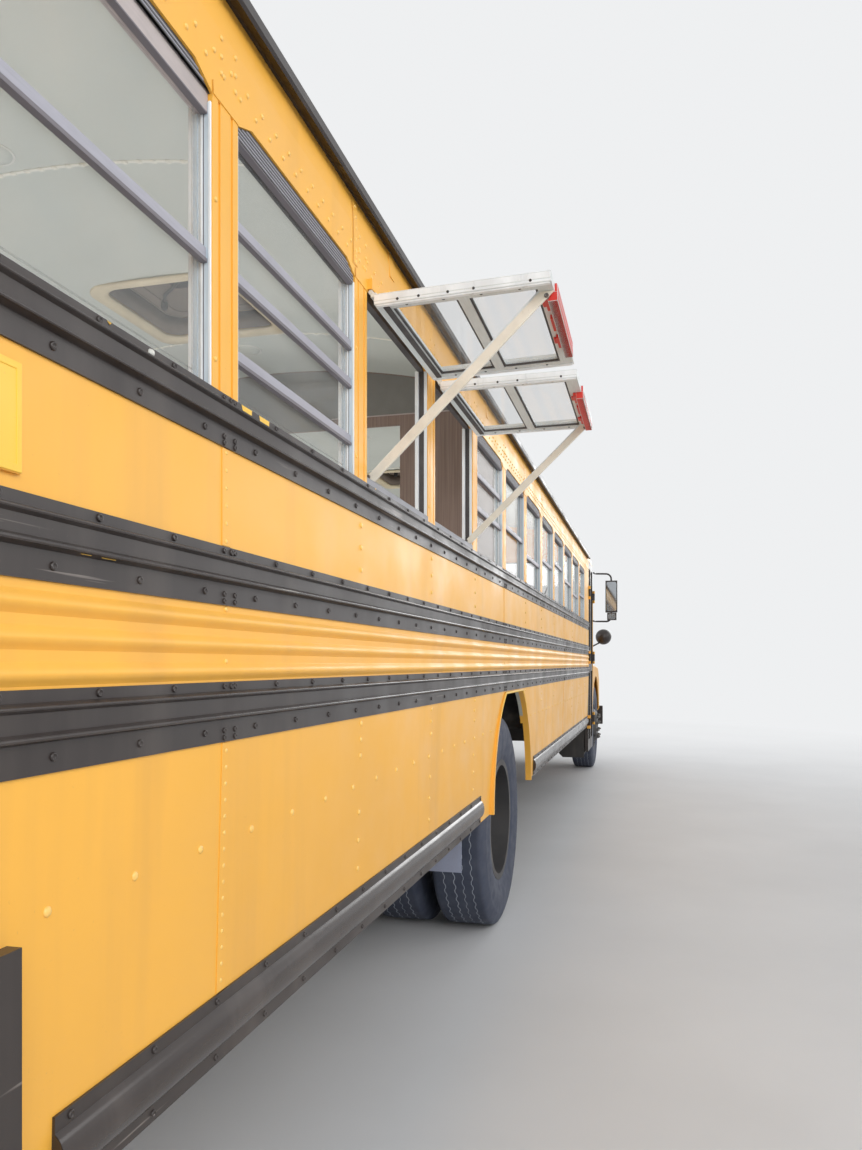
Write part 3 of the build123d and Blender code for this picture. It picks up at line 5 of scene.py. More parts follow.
import bmesh
import bpy
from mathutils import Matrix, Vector


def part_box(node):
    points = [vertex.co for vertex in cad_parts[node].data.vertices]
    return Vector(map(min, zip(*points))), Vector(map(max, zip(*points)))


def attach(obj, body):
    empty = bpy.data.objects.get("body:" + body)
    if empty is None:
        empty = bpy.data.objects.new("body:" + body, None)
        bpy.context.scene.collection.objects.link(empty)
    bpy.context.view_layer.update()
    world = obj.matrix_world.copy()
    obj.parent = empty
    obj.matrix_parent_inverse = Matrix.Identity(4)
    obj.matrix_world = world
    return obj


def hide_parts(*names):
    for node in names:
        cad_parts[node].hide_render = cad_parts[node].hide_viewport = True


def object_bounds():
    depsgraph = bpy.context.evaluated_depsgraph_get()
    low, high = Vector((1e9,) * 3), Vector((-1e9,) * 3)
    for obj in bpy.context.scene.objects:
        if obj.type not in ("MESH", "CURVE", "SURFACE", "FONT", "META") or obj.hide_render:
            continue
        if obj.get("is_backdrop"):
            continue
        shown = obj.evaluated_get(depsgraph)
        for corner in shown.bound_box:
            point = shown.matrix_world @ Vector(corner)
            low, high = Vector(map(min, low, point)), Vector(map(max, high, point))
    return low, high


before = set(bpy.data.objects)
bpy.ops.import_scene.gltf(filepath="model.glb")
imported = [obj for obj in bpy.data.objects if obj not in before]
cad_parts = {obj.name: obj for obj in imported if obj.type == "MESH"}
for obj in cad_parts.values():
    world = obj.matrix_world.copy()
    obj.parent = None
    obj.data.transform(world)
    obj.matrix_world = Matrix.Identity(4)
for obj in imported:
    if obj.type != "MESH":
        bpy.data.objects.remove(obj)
cad_low, cad_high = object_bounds()
random.seed(7)

# Sizes are in metres in the row frame: X forward, Y to the left, Z up. Stations are counted
# forward from the rear face of the body, which the rear door's hinges overhang.
HINGE_REACH = 0.022
REAR_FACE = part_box("rear_cap")[0].x + HINGE_REACH
REAR_CAP = 0.12
SIDE_FRONT = 8.98
HALF_WIDTH = 1.22
BAYS = 12
PITCH = 0.7
FIRST_WINDOW = 0.168
WINDOW_WIDTH = 0.61
WINDOW_SILL = 1.782
WINDOW_TOP = 2.29
HEADER_DIP = 0.023
HEADER_EDGE = WINDOW_TOP - HEADER_DIP
HEADER_CHAMFER = 0.055
TUCK_START = 1.196
TUCK = math.tan(math.radians(1.5))
SKIRT_BOTTOM = 0.653
SKIRT_RAIL = 0.117
FLOOR_TOP = 1.03
# Bottom and height of the floor, seat and window rails
RAILS = ((1.196, 0.101), (1.426, 0.099), (1.693, 0.089))
RAIL_FLANGE = 0.004
RIBS = (1.315, 1.358, 1.40)
SEAM_POSTS = (0, 4, 8)
HEADER_SEAMS = (1, 5, 9)
ARCH_RADIUS = 0.60
WHEEL_Z = 0.5275
REAR_AXLE = 3.92
FRONT_AXLE = 10.93
ROOF_SPRING = 2.39
ROOF_TOP = 2.90
CORNER_RADIUS = 0.40
LINING = 0.042

CORNER_Y = HALF_WIDTH - CORNER_RADIUS
ROOF_RISE = ROOF_TOP - ROOF_SPRING
CROWN_RADIUS = (CORNER_Y**2 + ROOF_RISE**2 - CORNER_RADIUS**2) / (2 * (ROOF_RISE - CORNER_RADIUS))
CROWN_Z = ROOF_TOP - CROWN_RADIUS
CROWN_ANGLE = math.atan2(CORNER_Y, ROOF_SPRING - CROWN_Z)
LINING_Z = ROOF_TOP - LINING

SIDES = ((1, "left"), (-1, "right"))
BOTH = (1, -1)
FORWARD = (1, 0, 0)
BACKWARD = (-1, 0, 0)
DOWNWARD = (0, 0, -1)
CUBE = ((0, 1, 3, 2), (4, 6, 7, 5), (0, 4, 5, 1), (2, 3, 7, 6), (0, 2, 6, 4), (1, 5, 7, 3))


def at(station):
    return REAR_FACE + station


def bay_start(bay):
    return FIRST_WINDOW + bay * PITCH


def post_station(bay):
    """Middle of the post ahead of a bay."""
    return bay_start(bay) + (WINDOW_WIDTH + PITCH) / 2


def skin_y(z):
    """Distance of the side's skin from the middle: it leans in below the floor rail and bends in above."""
    if z > ROOF_SPRING:
        return CORNER_Y + math.sqrt(CORNER_RADIUS**2 - (z - ROOF_SPRING) ** 2)
    return HALF_WIDTH - max(0.0, TUCK_START - z) * TUCK


def on_side(side, station, z, out=0.0):
    """Spot on the skin of one side, or that far outside it."""
    return (at(station), side * (skin_y(z) + out), z)


def in_arch(station, z):
    """Inside the rear wheel arch, or on its flange."""
    return math.hypot(station - REAR_AXLE, z - SKIRT_BOTTOM) < ARCH_RADIUS + 0.03


def roof_spot(station, angle, inset, out=0.0):
    """Spot on the roof's section at an angle from straight up, and its outward normal."""
    turn = max(-math.pi / 2, min(angle, math.pi / 2))
    normal = (0, math.sin(turn), math.cos(turn))
    if abs(angle) <= CROWN_ANGLE:
        middle_y, middle_z, radius = 0, CROWN_Z, CROWN_RADIUS - inset
    else:
        middle_y, middle_z, radius = math.copysign(CORNER_Y, angle), ROOF_SPRING, CORNER_RADIUS - inset
    reach = radius + out
    return (at(station), middle_y + reach * normal[1], middle_z + reach * normal[2]), normal


def roof_angles(inset, step):
    """Angles at even steps of length along the roof's section."""
    angles = []
    angle = -math.pi / 2
    while angle < math.pi / 2:
        angles.append(angle)
        radius = CROWN_RADIUS if abs(angle) < CROWN_ANGLE else CORNER_RADIUS
        angle += step / (radius - inset)
    return angles


def spread(low, high, count):
    """Even places from low to high, with both ends."""
    return [low + (high - low) * i / count for i in range(count + 1)]


def stepped(start, end, step):
    """Places from a start by even steps, short of an end."""
    place = start
    while place < end:
        yield place
        place += step


def mirrored(low, high):
    """A span and its mirror image, the mirror image first."""
    return ((-high, -low), (low, high))


def circle(sides, first=0.0):
    """Cosine and sine of even angles round a circle; the first is counted in steps."""
    angles = [2 * math.pi * (i + first) / sides for i in range(sides)]
    return [(math.cos(t), math.sin(t)) for t in angles]


def rounded(width, height, radius, steps=6, middle=(0, 0)):
    """Rounded rectangle as a list of points."""
    points = []
    for sx, sy, start in ((1, 1, 0), (-1, 1, 90), (-1, -1, 180), (1, -1, 270)):
        corner_x = middle[0] + sx * (width / 2 - radius)
        corner_y = middle[1] + sy * (height / 2 - radius)
        for t in spread(start, start + 90, steps):
            angle = math.radians(t)
            points.append((corner_x + radius * math.cos(angle), corner_y + radius * math.sin(angle)))
    return points


def smooth_line(points, steps):
    """Catmull-Rom curve through a few points."""
    points = [Vector(p) for p in points]
    padded = [points[0], *points, points[-1]]
    line = []
    for p0, p1, p2, p3 in zip(padded, padded[1:], padded[2:], padded[3:]):
        square = 2 * p0 - 5 * p1 + 4 * p2 - p3
        cubic = 3 * p1 - p0 - 3 * p2 + p3
        for k in range(steps):
            t = k / steps
            line.append(0.5 * (2 * p1 + (p2 - p0) * t + square * t * t + cubic * t**3))
    return [*line, points[-1]]


def depth_point(axis, place, point):
    """Point of a flat outline, set at a place on the axis square to it."""
    spot = list(point)
    spot.insert("xyz".index(axis), place)
    return spot


class Shape:
    """Collects vertices and faces of one piece."""

    def __init__(self):
        self.verts = []
        self.faces = []
        self.smooth = []

    def add(self, verts, faces, smooth=False):
        base = len(self.verts)
        self.verts += [tuple(v) for v in verts]
        self.faces += [[base + i for i in face] for face in faces]
        self.smooth += [smooth] * len(faces)

    def box(self, low, high):
        spans = [(min(pair), max(pair)) for pair in zip(low, high)]
        self.add(list(product(*spans)), CUBE)

    def rings(self, rings, closed=False, smooth=True):
        """Skin over rings with equal counts: closed joins the last to the first, an open one is capped."""
        count = len(rings[0])
        faces = []
        for i in range(len(rings) if closed else len(rings) - 1):
            a, b = i * count, ((i + 1) % len(rings)) * count
            for j in range(count):
                k = (j + 1) % count
                faces.append((a + j, b + j, b + k, a + k))
        self.add([v for ring in rings for v in ring], faces, smooth)
        if not closed:
            self.add(rings[0], [range(count)])
            self.add(rings[-1], [range(count)[::-1]])

    def turned(self, profile, centre, axis, sides=32, smooth=True, closed=False):
        """Profile of (radius, along) turned about an axis; closed joins its last point to its first."""
        z_axis = Vector(axis).normalized()
        x_axis = z_axis.orthogonal().normalized()
        y_axis = z_axis.cross(x_axis)
        rings = []
        for radius, along in profile:
            middle = Vector(centre) + z_axis * along
            rings.append([middle + (x_axis * c + y_axis * s) * radius for c, s in circle(sides)])
        self.rings(rings, closed, smooth)

    def tube(self, points, radius, sides=12):
        """Round bar along points."""
        points = [Vector(p) for p in points]
        normal = (points[1] - points[0]).orthogonal().normalized()
        rings = []
        for before, point, after in zip([points[0], *points], points, [*points[1:], points[-1]]):
            tangent = (after - before).normalized()
            normal = (normal - tangent * normal.dot(tangent)).normalized()
            other = tangent.cross(normal)
            rings.append([point + (normal * c + other * s) * radius for c, s in circle(sides)])
        self.rings(rings)

    def head(self, levels, sides, centre, normal, radius, height):
        """Head of a fastener; its levels are shares of the radius and of the height."""
        profile = [(radius, -0.0005)] + [(radius * wide, height * high) for wide, high in levels]
        self.turned(profile, centre, normal, sides)

    def dome(self, centre, normal, radius, height, sides=8):
        """Rivet head."""
        self.head(((1, 0.25), (0.72, 0.8), (0.25, 1)), sides, centre, normal, radius, height)

    def bolt(self, centre, normal, radius, height):
        """Round-headed bolt with a recessed ring."""
        levels = ((1, 0.4), (0.85, 1), (0.6, 1), (0.5, 0.45), (0.2, 0.45))
        self.head(levels, 12, centre, normal, radius, height)

    def nut(self, centre, normal, radius, height):
        profile = [(radius, 0), (radius, height * 0.8), (radius * 0.85, height)]
        self.turned(profile, centre, normal, 6, smooth=False)

    def band(self, outline, axis, start, end):
        """Flat outline in a plane square to an axis, pulled between two places on that axis."""
        self.rings([[depth_point(axis, place, p) for p in outline] for place in (start, end)], smooth=False)

    def frame(self, outer, inner, axis, start, end):
        """Ring between two outlines of as many points, pulled between two places on an axis."""
        corners = ((outer, start), (inner, start), (inner, end), (outer, end))
        rings = [[depth_point(axis, place, p) for p in outline] for outline, place in corners]
        self.rings(rings, closed=True, smooth=False)

    def rim(self, outer, inner, steps, middle, axis, start, end):
        """Ring between two rounded rectangles, each given as its width, height and corner radius."""
        outlines = [rounded(*sizes, steps, middle) for sizes in (outer, inner)]
        self.frame(*outlines, axis, start, end)

    def along(self, side, profile, start, end, smooth=True):
        """Strip along the side of the bus from a profile of (distance from the middle, height)."""
        count = len(profile)
        verts = [(at(station), side * y, z) for station in (start, end) for y, z in profile]
        self.add(verts, [(i, i + 1, count + i + 1, count + i) for i in range(count - 1)], smooth)

    def done(self, name, material, body="bus", slot=None, bevel=0.0):
        """Make the piece, give it its material and edges, and let it ride on a body."""
        mesh = bpy.data.meshes.new(name)
        mesh.from_pydata(self.verts, [], self.faces)
        mesh.update()
        for polygon, smooth in zip(mesh.polygons, self.smooth):
            polygon.use_smooth = smooth
        work = bmesh.new()
        work.from_mesh(mesh)
        bmesh.ops.recalc_face_normals(work, faces=work.faces)
        work.to_mesh(mesh)
        work.free()
        piece = bpy.data.objects.new(name, mesh)
        bpy.context.scene.collection.objects.link(piece)
        piece.data.materials.append(material)
        if bevel:
            modifier = piece.modifiers.new("edges", "BEVEL")
            modifier.width = bevel
            modifier.segments = 2
            modifier.limit_method = "ANGLE"
            modifier.harden_normals = False
        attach(piece, body)
        return piece


class Nodes:
    """Short names for making and joining the nodes of a material or of the world."""

    def __init__(self, owner):
        owner.use_nodes = True
        self.tree = owner.node_tree
        self.tree.nodes.clear()

    def feed(self, socket, value):
        """Constant, or another node's output, into a socket."""
        if isinstance(value, bpy.types.NodeSocket):
            self.tree.links.new(value, socket)
        elif socket.type == "RGBA":
            socket.default_value = (*value, 1)
        else:
            socket.default_value = value

    def node(self, kind, inputs=None, **settings):
        node = self.tree.nodes.new(f"ShaderNode{kind}")
        for name, value in settings.items():
            setattr(node, name, value)
        for name, value in (inputs or {}).items():
            self.feed(node.inputs[name], value)
        return node

    def calculate(self, operation, a, b=0.0):
        return self.node("Math", {0: a, 1: b}, operation=operation).outputs[0]

    def times(self, a, b):
        return self.calculate("MULTIPLY", a, b)

    def seen_ray(self):
        """1 for what the camera, a reflection or a clear glass shows, 0 for light that falls on a surface."""
        path = self.node("LightPath").outputs
        reflected = self.calculate("MAXIMUM", path["Is Camera Ray"], path["Is Glossy Ray"])
        return self.calculate("MAXIMUM", reflected, path["Is Transmission Ray"])


class Graph(Nodes):
    """Nodes of one material round its Principled shader."""

    def __init__(self, name):
        self.material = bpy.data.materials.new(name)
        super().__init__(self.material)
        self.shader = self.node("BsdfPrincipled")
        self.output = self.node("OutputMaterial", {"Surface": self.shader.outputs[0]})
        self.coords = self.node("TexCoord").outputs["Object"]

    def surface(self, inputs):
        """Constants and node outputs for the shader itself."""
        for name, value in inputs.items():
            self.feed(self.shader.inputs[name], value)

    def axis(self, name):
        """Place in the frame along one axis."""
        return self.node("SeparateXYZ", {0: self.coords}).outputs[name]

    def stretch(self, scale):
        return self.node("Mapping", {"Vector": self.coords, "Scale": scale}).outputs[0]

    def noise(self, scale, detail=3.0, rough=0.55, stretch=(1, 1, 1)):
        inputs = {"Scale": scale, "Detail": detail, "Roughness": rough, "Vector": self.stretch(stretch)}
        return self.node("TexNoise", inputs).outputs["Fac"]

    def ramp(self, source, stops):
        node = self.node("ValToRGB", {"Fac": source})
        elements = node.color_ramp.elements
        while len(elements) < len(stops):
            elements.new(0.5)
        for element, (place, colour) in zip(elements, stops):
            element.position = place
            element.color = (*colour, 1)
        return node.outputs["Color"]

    def step(self, source, low, high):
        """0 below low, 1 above high and a straight rise between them."""
        return self.ramp(source, [(low, (0, 0, 0)), (high, (1, 1, 1))])

    def span(self, source, low, high, to_low, to_high):
        """Source, stretched from one span of values to another."""
        inputs = {"Value": source, "From Min": low, "From Max": high, "To Min": to_low, "To Max": to_high}
        return self.node("MapRange", inputs).outputs["Result"]

    def mix(self, factor, a, b):
        """Colour mix: the node's first input is its factor, and 6 and 7 are its two colours."""
        node = self.node("Mix", data_type="RGBA")
        for index, value in ((0, factor), (6, a), (7, b)):
            self.feed(node.inputs[index], value)
        return node.outputs[2]

    def bump(self, *layers):
        """Each layer is a height source, its strength and its depth in metres."""
        inputs = {}
        for source, strength, depth in layers:
            inputs |= {"Strength": strength, "Distance": depth, "Height": source}
            inputs["Normal"] = self.node("Bump", inputs).outputs[0]
        self.surface({"Normal": inputs["Normal"]})


def srgb(r, g, b):
    """Linear colour of an 8-bit sRGB one."""
    return tuple(((c / 255 + 0.055) / 1.055) ** 2.4 if c > 10 else c / 255 / 12.92 for c in (r, g, b))


def darker(colour, share):
    return tuple(c * share for c in colour)


def painted(name, colour, low_rough, high_rough, grime, grime_colour, wave=0.35, scratch_and_highlight=None, lining=None):
    """Old enamel: faded patches, run-down streaks, dust near the ground and a faint wavy skin."""
    g = Graph(name)
    base = g.mix(g.step(g.noise(0.9, 5), 0.35, 0.7), colour, darker(colour, 0.9))
    streaks = g.step(g.noise(7, 4, stretch=(1, 1, 0.07)), 0.52, 0.75)
    base = g.mix(g.times(streaks, grime), base, grime_colour)
    low = g.span(g.axis("Z"), 0.55, 1.3, 1.0, 0.0)
    dust = g.times(low, g.span(g.noise(3.1, 5), 0.3, 0.75, 0.1, 0.9))
    base = g.mix(g.times(dust, 0.55 * grime + 0.05), base, grime_colour)
    base = g.mix(g.span(g.noise(160, 2), 0.7, 0.8, 0, 0.25), base, grime_colour)
    # Pale lines along the length: partly scratches, partly painted highlights along the ridges of the rails
    if scratch_and_highlight:
        lines = g.span(g.noise(1, 3, stretch=(1.6, 60, 75)), 0.66, 0.7, 0, 1)
        marks = g.times(lines, g.span(g.noise(4, 3), 0.45, 0.6, 0, 1))
        base = g.mix(g.times(marks, 0.6), base, scratch_and_highlight)
    if lining:
        # The cabin side of a wall above the floor has the ceiling's colour
        inside = g.span(g.calculate("ABSOLUTE", g.axis("Y")), HALF_WIDTH - 0.0215, HALF_WIDTH - 0.0205, 1, 0)
        inside = g.times(inside, g.span(g.axis("Z"), FLOOR_TOP, FLOOR_TOP + 0.01, 0, 1))
        base = g.mix(inside, base, lining)
    g.surface({"Base Color": base, "Roughness": g.span(g.noise(5, 5), 0.3, 0.7, low_rough, high_rough)})
    g.bump((g.noise(1.7, 2), wave, 0.02), (g.noise(420, 1), 0.06, 0.0006))
    return g.material


YELLOW = srgb(252, 187, 73)
DUST = srgb(190, 142, 84)
# Dust colour, wave and pale lengthwise lines of the black paints; the lines are partly scratches, partly
# painted highlights
black_marks = (srgb(106, 97, 90), 0.12, srgb(168, 158, 150))
gloss_marks = (srgb(120, 110, 104), 0.12, srgb(176, 168, 160))
yellow_paint = painted("yellow_enamel", YELLOW, 0.3, 0.5, 0.22, DUST)
wall_paint = painted("wall_enamel", YELLOW, 0.3, 0.5, 0.22, DUST, lining=srgb(186, 187, 178))
bright_yellow = painted("bright_yellow_enamel", srgb(255, 204, 74), 0.3, 0.5, 0.12, DUST, wave=0.1)
# Rivet heads are a paler yellow than the panels: a painted highlight on their domes
rivet_highlight_paint = painted("rivet_highlight_enamel", srgb(255, 206, 112), 0.22, 0.36, 0.1, DUST, wave=0.1)
roof_paint = painted("roof_enamel", YELLOW, 0.35, 0.6, 0.3, DUST)
black_paint = painted("black_enamel", srgb(50, 43, 41), 0.28, 0.48, 0.25, *black_marks)
gloss_black = painted("gloss_black_enamel", srgb(56, 49, 47), 0.14, 0.28, 0.2, *gloss_marks)
chassis_paint = painted("chassis_enamel", srgb(38, 38, 39), 0.5, 0.8, 0.6, srgb(96, 88, 80), wave=0.1)
red_paint = painted("red_enamel", srgb(212, 52, 42), 0.3, 0.5, 0.15, srgb(150, 90, 76), wave=0.1)
rim_paint = painted("rim_enamel", srgb(58, 58, 60), 0.4, 0.65, 0.6, srgb(104, 98, 92), wave=0.1)
ceiling_paint = painted("ceiling_enamel", srgb(208, 211, 203), 0.4, 0.6, 0.1, srgb(168, 168, 156), wave=0.3)
cream_seam = painted("cream_seam_enamel", srgb(244, 241, 228), 0.4, 0.6, 0.1, srgb(168, 160, 140), wave=0.1)
white_paint = painted("white_enamel", srgb(226, 225, 218), 0.4, 0.6, 0.2, srgb(170, 164, 150), wave=0.1)


def brushed(name, colour, metallic, low_rough, high_rough, grain):
    """Metal with drawn lines along its grain and dull stains."""
    g = Graph(name)
    lines = g.noise(30, 3, stretch=grain)
    base = g.mix(g.span(lines, 0.3, 0.7, 0, 1), darker(colour, 0.86), colour)
    base = g.mix(g.span(g.noise(5, 5), 0.55, 0.8, 0, 0.45), base, darker(colour, 0.62))
    rough = g.span(lines, 0.3, 0.7, low_rough, high_rough)
    g.surface({"Base Color": base, "Metallic": metallic, "Roughness": rough})
    g.bump((lines, 0.12, 0.0006), (g.noise(9, 2), 0.05, 0.003))
    return g.material


LENGTHWISE = (0.6, 9, 9)
aluminium = brushed("window_aluminium", srgb(224, 229, 228), 0.12, 0.32, 0.5, LENGTHWISE)
bright_alu = brushed("bright_aluminium", srgb(246, 250, 252), 0.0, 0.25, 0.42, (1, 1, 0.3))
blue_track = brushed("track_aluminium", srgb(214, 228, 238), 0.0, 0.3, 0.5, (9, 9, 0.6))
sash_grey = brushed("sash_rail_aluminium", srgb(172, 171, 180), 0.05, 0.35, 0.55, LENGTHWISE)
mauve_grey = brushed("sash_top_aluminium", srgb(188, 177, 174), 0.05, 0.4, 0.6, LENGTHWISE)
# Darker grey of the lips under the sash bars is painted shade of their undersides; in the fixed windows'
# jambs it is the grey seal's own colour
seal_grey_and_lip_shade = brushed("seal_and_shaded_lip_aluminium", srgb(120, 115, 120), 0.05, 0.4, 0.6, LENGTHWISE)
sill_grey = brushed("sill_aluminium", srgb(146, 146, 152), 0.3, 0.4, 0.6, LENGTHWISE)
steel = brushed("worn_steel", srgb(120, 116, 112), 0.8, 0.35, 0.6, (4, 4, 4))
rusty_steel = brushed("exhaust_steel", srgb(112, 88, 70), 0.5, 0.55, 0.85, (3, 3, 3))
chrome = brushed("chrome_trim", srgb(214, 216, 218), 0.95, 0.08, 0.2, (4, 4, 4))


def rubber(name, colour, low_rough, high_rough, dust, dust_share):
    """Rubber, vinyl or plastic with dusty patches and a fine grain."""
    g = Graph(name)
    base = g.mix(g.span(g.noise(14, 5), 0.4, 0.72, 0, dust_share), colour, dust)
    base = g.mix(g.span(g.noise(240, 2), 0.62, 0.8, 0, 0.35), base, darker(colour, 0.5))
    g.surface({"Base Color": base, "Roughness": g.span(g.noise(20, 3), 0.3, 0.7, low_rough, high_rough)})
    g.bump((g.noise(500, 2), 0.2, 0.0006), (g.noise(30, 3), 0.06, 0.002))
    return g.material


# Dark rubber with a blue tint; the blue is a painted reflection of a bluish floor
tyre_rubber_blue_reflection = rubber("tyre_rubber_blue_reflection", srgb(58, 64, 80), 0.55, 0.8, srgb(92, 97, 110), 0.3)
tread_dust = rubber("tread_dust", srgb(150, 156, 168), 0.7, 0.9, srgb(176, 178, 182), 0.5)
gasket = rubber("gasket_rubber", srgb(42, 42, 44), 0.5, 0.75, srgb(104, 102, 100), 0.4)
grey_gasket = rubber("grey_weatherstrip", srgb(72, 69, 69), 0.6, 0.8, srgb(112, 108, 104), 0.4)
flap_rubber = rubber("flap_rubber", srgb(150, 156, 176), 0.5, 0.7, srgb(132, 132, 140), 0.3)
floor_cover = rubber("ribbed_floor_rubber", srgb(64, 63, 62), 0.6, 0.85, srgb(122, 114, 104), 0.5)
seat_cover = rubber("seat_vinyl", srgb(52, 58, 74), 0.4, 0.6, srgb(92, 94, 102), 0.3)
dash_plastic = rubber("dash_plastic", srgb(42, 42, 45), 0.45, 0.65, srgb(92, 90, 86), 0.3)
prop_cream = rubber("prop_enamel", srgb(238, 231, 216), 0.35, 0.5, srgb(176, 166, 146), 0.3)
# Grey sheet over the partition; over the doorway its grey is painted shade of the dark ceiling beyond
grey_head_panel_and_doorway_shade = rubber("grey_head_panel_and_doorway_shade", srgb(126, 124, 120), 0.5, 0.7, srgb(112, 108, 104), 0.3)
hatch_liner = rubber("hatch_liner", srgb(124, 112, 102), 0.6, 0.8, srgb(96, 88, 80), 0.5)
cream_plastic = rubber("cream_plastic", srgb(222, 208, 178), 0.4, 0.6, srgb(178, 160, 130), 0.35)
lid_plastic = rubber("lid_plastic", srgb(214, 210, 196), 0.4, 0.6, srgb(150, 142, 126), 0.4)


def plywood():
    g = Graph("plywood_sheet")
    grain = g.noise(11, 4, 0.6, (1, 14, 0.25))
    broad = g.noise(0.8, 3, stretch=(1, 2, 0.3))
    tones = [(0.3, srgb(128, 108, 98)), (0.5, srgb(142, 122, 112)), (0.7, srgb(154, 134, 124))]
    base = g.mix(g.span(broad, 0.4, 0.7, 0, 0.35), g.ramp(grain, tones), srgb(126, 108, 100))
    g.surface({"Base Color": base, "Roughness": 0.72})
    g.bump((grain, 0.3, 0.001))
    return g.material


def glass():
    g = Graph("window_glass")
    haze = g.mix(g.span(g.noise(6, 5), 0.35, 0.75, 0, 1), srgb(150, 158, 160), srgb(186, 184, 178))
    g.surface({"Base Color": haze, "Roughness": 0.06, "Alpha": 0.16, "IOR": 1.52, "Specular IOR Level": 1.0})
    return g.material


def lens(name, colour):
    """Ribbed lamp lens."""
    g = Graph(name)
    ribs = g.node("TexVoronoi", {"Scale": 90, "Vector": g.stretch((1, 1, 1))}).outputs["Distance"]
    base = g.mix(g.span(ribs, 0.0, 0.6, 0, 0.5), colour, darker(colour, 0.55))
    g.surface({"Base Color": base, "Roughness": 0.16, "Coat Weight": 0.5})
    g.bump((ribs, 0.3, 0.001))
    return g.material


def mirror():
    g = Graph("mirror_glass")
    base = g.mix(g.span(g.noise(8, 3), 0.5, 0.8, 0, 0.2), (0.42, 0.44, 0.46), (0.3, 0.3, 0.3))
    g.surface({"Base Color": base, "Metallic": 1.0, "Roughness": 0.04})
    return g.material


plywood_sheet = plywood()
window_glass = glass()
red_lens = lens("red_lens", srgb(176, 22, 16))
amber_lens = lens("amber_lens", srgb(236, 138, 20))
clear_lens = lens("clear_lens", srgb(222, 224, 226))
mirror_glass = mirror()

NODE_MATERIALS = (
    (wall_paint, "body_side_left body_side_right"),
    (yellow_paint, "rear_cap cab_shell tilt_hood rear_door"),
    (roof_paint, "roof"),
    (black_paint, "rub_rails bumpers grille mirrors cross_view_mirrors"),
    (black_paint, "entrance_leaf_front entrance_leaf_rear"),
    (chassis_paint, "chassis_frame cross_members frame_brackets engine_and_gearbox fuel_tank"),
    (chassis_paint, "front_axle rear_axle knuckle_left knuckle_right step_well"),
    (rusty_steel, "exhaust"),
    (flap_rubber, "mud_flaps"),
    (floor_cover, "cabin_floor wheel_houses"),
    (ceiling_paint, "ceiling_lining"),
    (plywood_sheet, "plywood_partition"),
    (aluminium, "window_frames"),
    (seat_cover, "driver_seat"),
    (dash_plastic, "driver_controls"),
    (lid_plastic, "roof_hatch_lid_1 roof_hatch_lid_2"),
    (red_paint, "stop_arm"),
    (red_lens, "body_lamps"),
    (clear_lens, "front_lamps"),
)
WORD_MATERIALS = ((window_glass, "glass"), (aluminium, "push_out"), (tyre_rubber_blue_reflection, "tyre"))


def node_material(node):
    """Material of a node from its whole name, or else from a word in it; the rims are left over."""
    found = [material for material, names in NODE_MATERIALS if node in names.split()]
    found += [material for material, word in WORD_MATERIALS if word in node]
    return found[0] if found else rim_paint


for node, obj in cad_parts.items():
    obj.data.materials.clear()
    obj.data.materials.append(node_material(node))

# Rivets, bolts, laps and rolled edges of the sides
RIVET_PITCH = 0.182
RIVET = (0.0072, 0.0036)
SEAM_RIVET = (0.0048, 0.0032)
BOLT = (0.0058, 0.0028)
JOINT_BOLT = (0.005, 0.0026)
FLOOR_LINE = 1.028
HEADER_EDGE_REACH = 0.0449
# Pitch, head and heights of the rivet columns on a seam's post, and on any other
SEAM_COLUMNS = (0.027, SEAM_RIVET, ((0.79, 1.18), (1.302, 1.42), (1.535, 1.685)))
POST_COLUMNS = (0.07, RIVET, ((0.82, 0.96), (1.10, 1.18), (1.56, 1.67)))
# Share of the skirt rail's height, and how far its rounded bead stands out there
SKIRT_BEAD = [(0.2, 0.0), (0.24, 0.0075), (0.3, 0.0132), (0.36, 0.0166), (0.43, 0.0186), (0.51, 0.0192)]
SKIRT_BEAD += [(0.59, 0.0186), (0.67, 0.0166), (0.74, 0.0132), (0.8, 0.0075), (0.84, 0.0)]
# Rear end, front end, bottom and top of the chips on the window rail's upper flange
FLANGE_CHIPS = (
    (0.874, 0.914, 1.7675, 1.7815),
    (0.944, 0.986, 1.7635, 1.7815),
    (0.488, 0.499, 1.7765, 1.7815),
    (1.62, 1.632, 1.777, 1.7815),
)
# Which rail a scratch may lie on, and at what share of its height
CHIP_SHARES = ((1, 0.395), (1, 0.474), (0, 0.82), (2, 0.82))
CHIP_LINES = [RAILS[rail][0] + RAILS[rail][1] * share for rail, share in CHIP_SHARES]


def side_rivets(rivets, side):
    """Rivets of the floor line, the posts, the header's double row and its seams."""

    def rivet(station, z, head=SEAM_RIVET):
        rivets.dome(on_side(side, station, z), (0, side, 0), *head)

    for station in stepped(0.2, SIDE_FRONT - 0.03, RIVET_PITCH):
        if not in_arch(station, FLOOR_LINE):
            rivet(station, FLOOR_LINE, RIVET)
    for bay in range(BAYS):
        station = post_station(bay)
        pitch, head, spans = SEAM_COLUMNS if bay in SEAM_POSTS else POST_COLUMNS
        for low, high in spans:
            for z in spread(low, high, max(2, int((high - low) / pitch))):
                if not in_arch(station, z) and all(abs(z - rib) >= 0.014 for rib in RIBS):
                    rivet(station, z, head)
        for share in (0.1, 0.62):
            rivet(station - 0.036, WINDOW_SILL + share * (WINDOW_TOP - WINDOW_SILL))
    for station in stepped(REAR_CAP + 0.03, SIDE_FRONT - 0.04, 0.0605):
        rivet(station, 2.318)
        rivet(station + 0.027, 2.3415)
    for bay in range(BAYS):
        for shift, z in product((-0.016, 0.034), (2.319, 2.347, 2.378)):
            rivet(post_station(bay) + shift, z)
        if bay in HEADER_SEAMS:
            for z in spread(2.305, 2.44, 5):
                rivet(post_station(bay) - 0.041, z)


